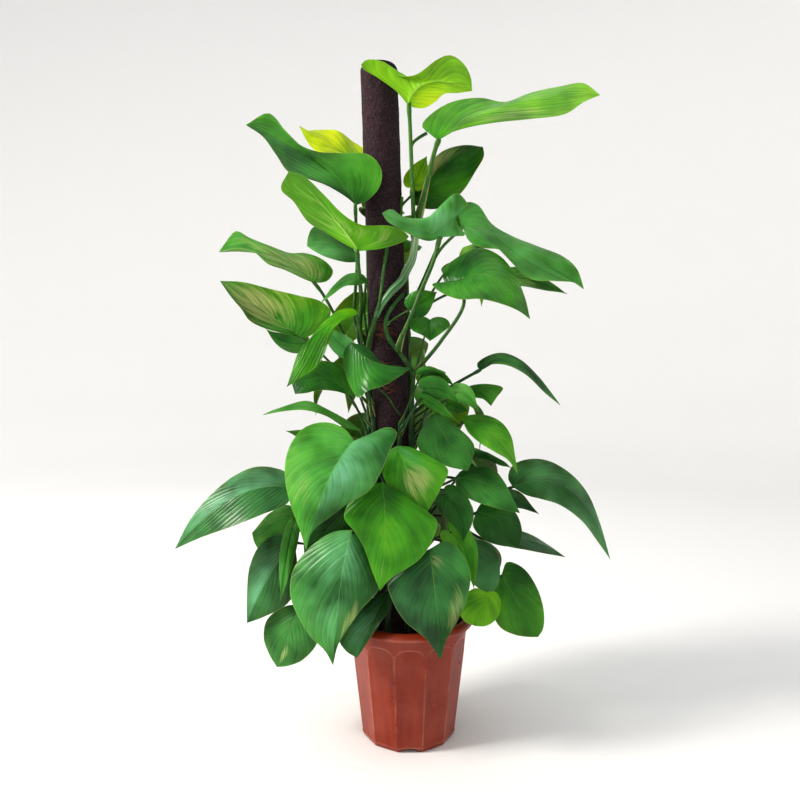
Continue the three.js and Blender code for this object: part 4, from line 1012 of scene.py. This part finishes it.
def build_vine(name, vine, leaf_material, stem_material, sheath_material):
    """A leafy stem's pieces: its blades, its stem with the leaf stalks, and their sheaths."""
    stem = stem_line(vine)
    chance = np.random.default_rng(int(name[-2:]))
    length = np.linalg.norm(np.diff(stem, axis=0), axis=1).sum()
    shares = np.linspace(0, 1, int(length / STEM_RING_SPACING))
    joints = (shares * length / JOINT_SPACING) % 1
    radii = STEM_RADIUS * MM * (0.94 + 0.16 * np.exp(-((joints - 0.5) / 0.06) ** 2) - 0.25 * shares ** 8)
    stalks = [tube(resample(stem, shares) * MM, radii, sides=24, ridges=0.07)]
    blades, sheaths, marks = [], [], []
    shares = np.linspace(0, 1, STALK_RINGS)
    for leaf in vine["leaves"]:
        small = np.linalg.norm(leaf["tip"] - leaf["base"]) < SMALL_LEAF * MM
        radius = (leaf["thick"] or (SMALL_STALK_RADIUS if small else STALK_RADIUS)) * MM
        line = resample(stalk_line(leaf, stem), shares)
        stalks.append(tube(line, swollen(shares, radius), ridges=0.04))
        reach = int(leaf["wing"] * STALK_RINGS) + 2
        width = radius * np.linspace(1.15, 0.25, reach)
        sheaths += [tube(line[:reach], width, sides=8, flat=0.4, beside=beside)
                    for beside in (-0.65, 0.65)]
        blade, place, under = blade_mesh(leaf)
        blades.append(blade)
        across, down = place[:, 0] * 2 - 1, place[:, 1]
        # Partly painted light and shade: tone is partly set by how lit each leaf looks, and side paints
        # one half of the blade lighter and the other darker
        tone = leaf["tone"] + (leaf["fade"] * (down - 0.5) + leaf["side"] * across)
        # Painted reflection of the sky: the leaf's bluish sheen amount plus its sheen patches
        film = leaf["film"] + patched(leaf["sheen"], across, down)
        seed = np.full(len(place), chance.uniform(0, 1))
        marks.append(np.stack([tone, patched(leaf["cream"], across, down), film, seed, under,
                               place[:, 0], down], -1))
    leaves = add_piece(f"{name}_leaves", *join_parts(blades), leaf_material, "foliage", [name])
    mark_leaves(leaves.data, np.concatenate(marks))
    add_piece(f"{name}_stem", *join_parts(stalks), stem_material, "foliage", [name])
    add_piece(f"{name}_sheaths", *join_parts(sheaths), sheath_material, "foliage", [name])


def mark_leaves(mesh, marks):
    """Each leaf's look as a colour, its lower face, and leaf coordinates as a UV map."""
    mark_points(mesh, "leaf_look", "FLOAT_COLOR", marks[:, :4])
    mark_points(mesh, "leaf_under", "FLOAT", marks[:, 4])
    loops = np.zeros(len(mesh.loops), int)
    mesh.loops.foreach_get("vertex_index", loops)
    mesh.uv_layers.new(name="leaf_place").data.foreach_set("uv", marks[loops, 5:].ravel())
    mesh.set_sharp_from_angle(angle=math.radians(60))


LEAF_GREENS = ((0, "#0d370a"), (0.2, "#226810"), (0.4, "#479c0c"), (0.6, "#74b804"),
               (0.8, "#94cc00"), (1, "#d2e000"))


def green_ramp(material, tone):
    """The leaf's green for a tone from dark to fresh."""
    ramp = add_node(material, "ValToRGB", Fac=tone)
    elements = ramp.color_ramp.elements
    while len(elements) < len(LEAF_GREENS):
        elements.new(0.5)
    for element, (place, colour) in zip(elements, LEAF_GREENS):
        element.position = place
        element.color = linear(colour)
    return ramp.outputs[0]


# Waxy blade: side veins sweep from the rib to the margin, the tissue between them is
# quilted, cream marbling follows the veins in sectors, a painted bluish reflection of the sky
# lies over it in streaks, and the lower face is pale
def make_blade():
    material, place = start_material("pothos_leaf_waxy")
    look = add_node(material, "Attribute", {"attribute_name": "leaf_look"})
    under = add_node(material, "Attribute", {"attribute_name": "leaf_under"}).outputs["Fac"]
    tone, cream, film = add_node(material, "SeparateColor", Color=look.outputs["Color"]).outputs
    leaf_place = add_node(material, "UVMap", {"uv_map": "leaf_place"}).outputs[0]
    sideways, down, _ = add_node(material, "SeparateXYZ", Vector=leaf_place).outputs
    across = scaled(material, sideways, 2.0, -1.0)
    out = calculate(material, "ABSOLUTE", across)
    flank = calculate(material, "GREATER_THAN", across, 0.0)
    sweep = scaled(material, calculate(material, "POWER", out, 1.2), -0.3, down)
    lane = scaled(material, flank, 0.031, sweep)

    # Cells long along the swept veins and short across them, different on each half blade
    side = scaled(material, flank, 5.3, scaled(material, look.outputs["Alpha"], 37.0))

    def cells(along, between, detail):
        cell = add_node(material, "CombineXYZ", n0=scaled(material, out, along),
                        n1=scaled(material, lane, between), n2=side).outputs[0]
        return noise(material, cell, 1.0, detail, Roughness=0.6)

    sector = cells(1.3, 11.0, 4.0)
    streak = cells(2.2, 34.0, 2.0)
    broad = noise(material, place, 20.0, 2.0)

    phase = scaled(material, scaled(material, sector, 0.07, lane), 13.0 * math.pi)
    ridge = calculate(material, "ABSOLUTE", calculate(material, "SINE", phase))
    vein = calculate(material, "MULTIPLY", graded(material, ridge, -5.0, 1.0),
                     scaled(material, out, -1.0, 1.0))
    rib = graded(material, out, -34.0, 1.0)
    rim = graded(material, out, 50.0, -49.0)

    green = green_ramp(material, scaled(material, tone, 0.85, scaled(material, broad, 0.5, -0.25)))
    shade = scaled(material, sector, 2.2, scaled(material, streak, 0.9, -0.45))
    shade = scaled(material, broad, 2.0, shade)
    colour = mix_colours(material, calculate(material, "ADD", shade, -1.4, clamp=True),
                         mix_colours(material, 0.5, green, "#0a300c"), green)
    # Painted reflection: a streaky bluish-green sheen that stands in for the sky seen in the gloss
    painted_reflection = scaled(material, streak, 0.5, graded(material, broad, 3.4, -1.25))
    painted_reflection = calculate(material, "MULTIPLY", painted_reflection, scaled(material, film, 0.7))
    colour = mix_colours(material, painted_reflection, colour, "#78bd92")
    marbled = scaled(material, sector, 1.7, scaled(material, cream, 1.3, -2.1))
    marbled = graded(material, scaled(material, streak, 1.3, marbled), 1.2, 0.0)
    for part, share, paint in ((marbled, 0.62, "#c3c983"), (vein, 0.3, "#1d5210"),
                               (rib, 0.45, "#8db84e"), (rim, 0.35, "#9dc25e")):
        colour = mix_colours(material, scaled(material, part, share), colour, paint)
    pale = mix_colours(material, 0.2, colour, "#86bc34")
    pale = mix_colours(material, scaled(material, rib, 0.7), pale, "#b9d97c")
    colour = mix_colours(material, under, colour, pale)

    swell = scaled(material, calculate(material, "POWER", ridge, 0.6), 0.5)
    swell = calculate(material, "MULTIPLY", swell, graded(material, down, 3.0, 0.0))
    height = scaled(material, noise(material, place, 900.0, 3.0), 0.03, swell)
    height = scaled(material, streak, 0.5, height)
    shine = scaled(material, under, 0.2, scaled(material, streak, 0.2, 0.2))
    return finish_material(material, colour, shine, height, 0.0008, Specular_IOR_Level=0.26,
                           Subsurface_Weight=0.15, Subsurface_Scale=0.004)


# Green stems and stalks: pale lengthways stripes that are fainter low down, teal and brown patches, and
# a darker green low on the plant
def make_stem():
    material, place = start_material("pothos_stem_striped")
    stripe = streaks(material, place, 700, 40, 4.0, Roughness=0.6)
    patch = noise(material, place, 45.0, 3.0)
    rise = add_node(material, "SeparateXYZ", Vector=place).outputs[2]
    high = graded(material, rise, 2.2, -0.75)
    green = mix_colours(material, high, "#17300b", "#3c7416")
    striped = calculate(material, "MULTIPLY", graded(material, stripe, 3.6, -1.9),
                        scaled(material, high, 0.6, 0.4))
    colour = mix_colours(material, striped, green, "#8fb864")
    teal = scaled(material, graded(material, patch, 3.0, -1.3), 0.6)
    colour = mix_colours(material, teal, colour, "#17573f")
    brown = scaled(material, graded(material, patch, -3.0, 1.2), 0.5)
    colour = mix_colours(material, brown, colour, "#46391c")
    return finish_material(material, colour, scaled(material, patch, 0.25, 0.33), stripe, 0.0005,
                           Specular_IOR_Level=0.35)


# Papery sheaths along the foot of each stalk: straw to pale green, with fine fibres
def make_sheath():
    material, place = start_material("pothos_sheath_papery")
    fibre = streaks(material, place, 900, 60, 4.0)
    patch = noise(material, place, 30.0, 3.0)
    colour = mix_colours(material, graded(material, patch, 3.0, -1.0), "#6f9a3c", "#bfb184")
    colour = mix_colours(material, graded(material, fibre, 2.0, -0.9), colour, "#8a6a50")
    return finish_material(material, colour, scaled(material, fibre, 0.3, 0.4), fibre, 0.0003,
                           Specular_IOR_Level=0.3)


vine_materials = make_blade(), make_stem(), make_sheath()
for vine_name, vine in VINES.items():
    build_vine(vine_name, vine, *vine_materials)


# Roots and old growth: thin, wavy aerial roots that hug the felt from stem to stem, cut
# stubs of old stalks with one thick root, and the stem that winds up the front. A cluster
# of roots has its bearing, height, spread and count, and the angle that its roots span.
ROOT_CLUSTERS = ((-12, 550, 14, 16, 62), (-4, 498, 8, 22, 50), (8, 470, 20, 3, 40),
                 (60, 600, 40, 8, 50), (150, 560, 70, 16, 60), (200, 420, 90, 16, 60),
                 (-100, 500, 60, 12, 55), (170, 300, 90, 12, 60))
# The points that each stub is seen to pass, and its radius
STUBS = ((((411, 236, -4), (412, 200, -8), (411, 160, -8), (412, 146, -8)), 1.0),
         (((411, 150, -8), (413, 143, -8), (420, 137, -8), (427, 133, -7)), 2.4),
         (((400, 222, 10), (401, 210, 11), (402, 197, 12)), 2.2),
         (((378, 311, 42), (381, 292, 40), (384, 268, 38), (388, 243, 37)), 2.4),
         (((379, 388, 22), (388, 397, 27), (395, 408, 26), (401, 416, 22)), 1.6))
THICK_STEM_LOW, THICK_STEM_HIGH = 572, 706
THICK_STEM_RINGS = 70
THICK_STEM_SIDES = 28


def build_roots(material):
    chance = np.random.default_rng(33)
    roots = []
    for bearing, height, spread, count, span in ROOT_CLUSTERS:
        for _ in range(count):
            turn = bearing + chance.uniform(-0.5, 0.5) * spread
            level = height + chance.normal(0, 11)
            slope = chance.normal(0, 10)
            path = []
            for step in np.linspace(-0.5, 0.5, 9):
                off = SLEEVE_RADIUS + 0.3 + chance.uniform(0, 1.4) * (abs(step) < 0.45)
                z = level + slope * step + chance.normal(0, 0.9)
                path.append((around(turn + step * span, off, 0) + pole_axis(z)) * MM)
            line = curve_through(path, 6)
            roots.append(tube(line, np.linspace(0.75, 0.3, len(line)) * MM, sides=6))
    add_piece("aerial_roots", *join_parts(roots), material, "foliage")


def build_stubs(material):
    stubs = []
    for path, radius in STUBS:
        line = curve_through([seen(*point) for point in path], 8)
        stubs.append(tube(line, np.linspace(0.8, 1.0, len(line)) * radius * MM, ridges=0.06))
    add_piece("old_stalk_stubs", *join_parts(stubs), material, "foliage")


# Dry root skin: tan to grey-brown with darker rings
def make_root():
    material, place = start_material("aerial_root_dry")
    skin = noise(material, place, 500.0, 4.0)
    patch = noise(material, place, 60.0, 2.0)
    colour = mix_colours(material, graded(material, patch, 3.0, -1.0), "#2a1510", "#7a4c38")
    return finish_material(material, colour, scaled(material, skin, 0.2, 0.6), skin, 0.0003)


def build_thick_stem(material):
    """The thick, pale length of the winding stem below its newest leaf stalks."""
    stem = stem_line(VINES["vine_01"])
    thick = stem[(stem[:, 2] > THICK_STEM_LOW) & (stem[:, 2] < THICK_STEM_HIGH)]
    shares = np.linspace(0, 1, THICK_STEM_RINGS)
    line = (resample(thick, shares) + (0.8, -1.2, 0.8)) * MM
    radii = (3.5 + 2.1 * np.sin(math.pi * shares) ** 0.5) * MM
    piece = add_piece("stem_thick_growth", *tube(line, radii, THICK_STEM_SIDES, ridges=0.05),
                      material, "foliage")
    turns = np.tile(np.linspace(0, 2 * math.pi, THICK_STEM_SIDES, endpoint=False), THICK_STEM_RINGS)
    along = 2.5 * np.repeat(shares, THICK_STEM_SIDES)
    mark_points(piece.data, "stem_place", "FLOAT_VECTOR",
                np.stack([5 * np.cos(turns), 5 * np.sin(turns), along], -1))


# Young stem skin: green with a fine dark grain low down and pale mint above, with whitish
# stripes that run along the stem
def make_young_stem():
    material, place = start_material("pothos_stem_young_striped")
    rise = add_node(material, "SeparateXYZ", Vector=place).outputs[2]
    stem_place = add_node(material, "Attribute", {"attribute_name": "stem_place"}).outputs["Vector"]
    stripe = noise(material, stem_place, 1.0, 3.0, Roughness=0.6)
    high = graded(material, rise, 16.0, -9.9)
    colour = mix_colours(material, high, "#1b5526", "#86bb78")
    colour = mix_colours(material, graded(material, stripe, 6.0, -2.7), colour,
                         mix_colours(material, high, "#8dbb88", "#e4ecd6"))
    dark = calculate(material, "MULTIPLY", scaled(material, high, -0.6, 0.8),
                     graded(material, noise(material, stem_place, 2.1, 3.0), -7.0, 2.9))
    colour = mix_colours(material, dark, colour, "#0f2f1c")
    return finish_material(material, colour, 0.35, stripe, 0.0004, Specular_IOR_Level=0.3)


build_roots(make_root())
build_stubs(vine_materials[1])
build_thick_stem(make_young_stem())


# Camera: the eye that the leaves are laid out for
camera = bpy.data.objects.new("view_camera", bpy.data.cameras.new("view_camera"))
bpy.context.scene.collection.objects.link(camera)
bpy.context.scene.camera = camera
camera.location = eye_at(0)
camera.rotation_euler = (math.pi / 2 - VIEW_PITCH, 0, -VIEW_YAW)
camera.data.sensor_width = 36
camera.data.lens = camera.data.sensor_width * VIEW_FOCAL / (2 * VIEW_MIDDLE)
camera.data.clip_end = 20


# Room: a pale floor that curves up into a wall all round, a soft key light high on the
# left, and a wide, weaker light overhead
def add_light(name, place, aim, size, power, colour):
    light = bpy.data.objects.new(name, bpy.data.lights.new(name, "AREA"))
    bpy.context.scene.collection.objects.link(light)
    light.location = place
    light.rotation_euler = (Vector(aim) - Vector(place)).to_track_quat("-Z", "Y").to_euler()
    light.data.shape = "DISK"
    light.data.size = size
    light.data.energy = power
    light.data.color = linear(colour)[:3]


def make_paper():
    material, place = start_material("studio_paper_white")
    tooth = noise(material, place, 400.0, 3.0)
    colour = mix_colours(material, tooth, "#eeeeee", "#f4f4f4")
    return finish_material(material, colour, 0.9, tooth, 0.00005)


profile = [(0.01, 0), (2.6, 0), (3.1, 0.08), (3.5, 0.35), (3.75, 0.8), (3.85, 1.4), (3.9, 4.6)]
floor_turns = np.linspace(0, 2 * math.pi, 96, endpoint=False)
floor_points = [(r * math.cos(turn), r * math.sin(turn), z) for r, z in profile for turn in floor_turns]
floor = bpy.data.meshes.new("studio_floor")
floor.from_pydata(floor_points, [], grid_faces(len(profile), len(floor_turns), closed=True))
floor.shade_smooth()
floor.materials.append(make_paper())
backdrop = bpy.data.objects.new("studio_floor", floor)
bpy.context.scene.collection.objects.link(backdrop)

add_light("key", (-2.3, -0.7, 2.0), (0, 0, 0.45), 0.8, 78, "#fffaf2")
add_light("overhead", (0, 0.3, 4.4), (0, 0.3, 0), 5.5, 75, "#ffffff")
bpy.context.scene.view_settings.view_transform = "Standard"
bpy.context.scene.view_settings.look = "Medium High Contrast"
world = bpy.data.worlds.new("studio")
bpy.context.scene.world = world
world.use_nodes = True
world.node_tree.nodes["Background"].inputs[0].default_value = linear("#f2f6fb")
world.node_tree.nodes["Background"].inputs[1].default_value = 0.12
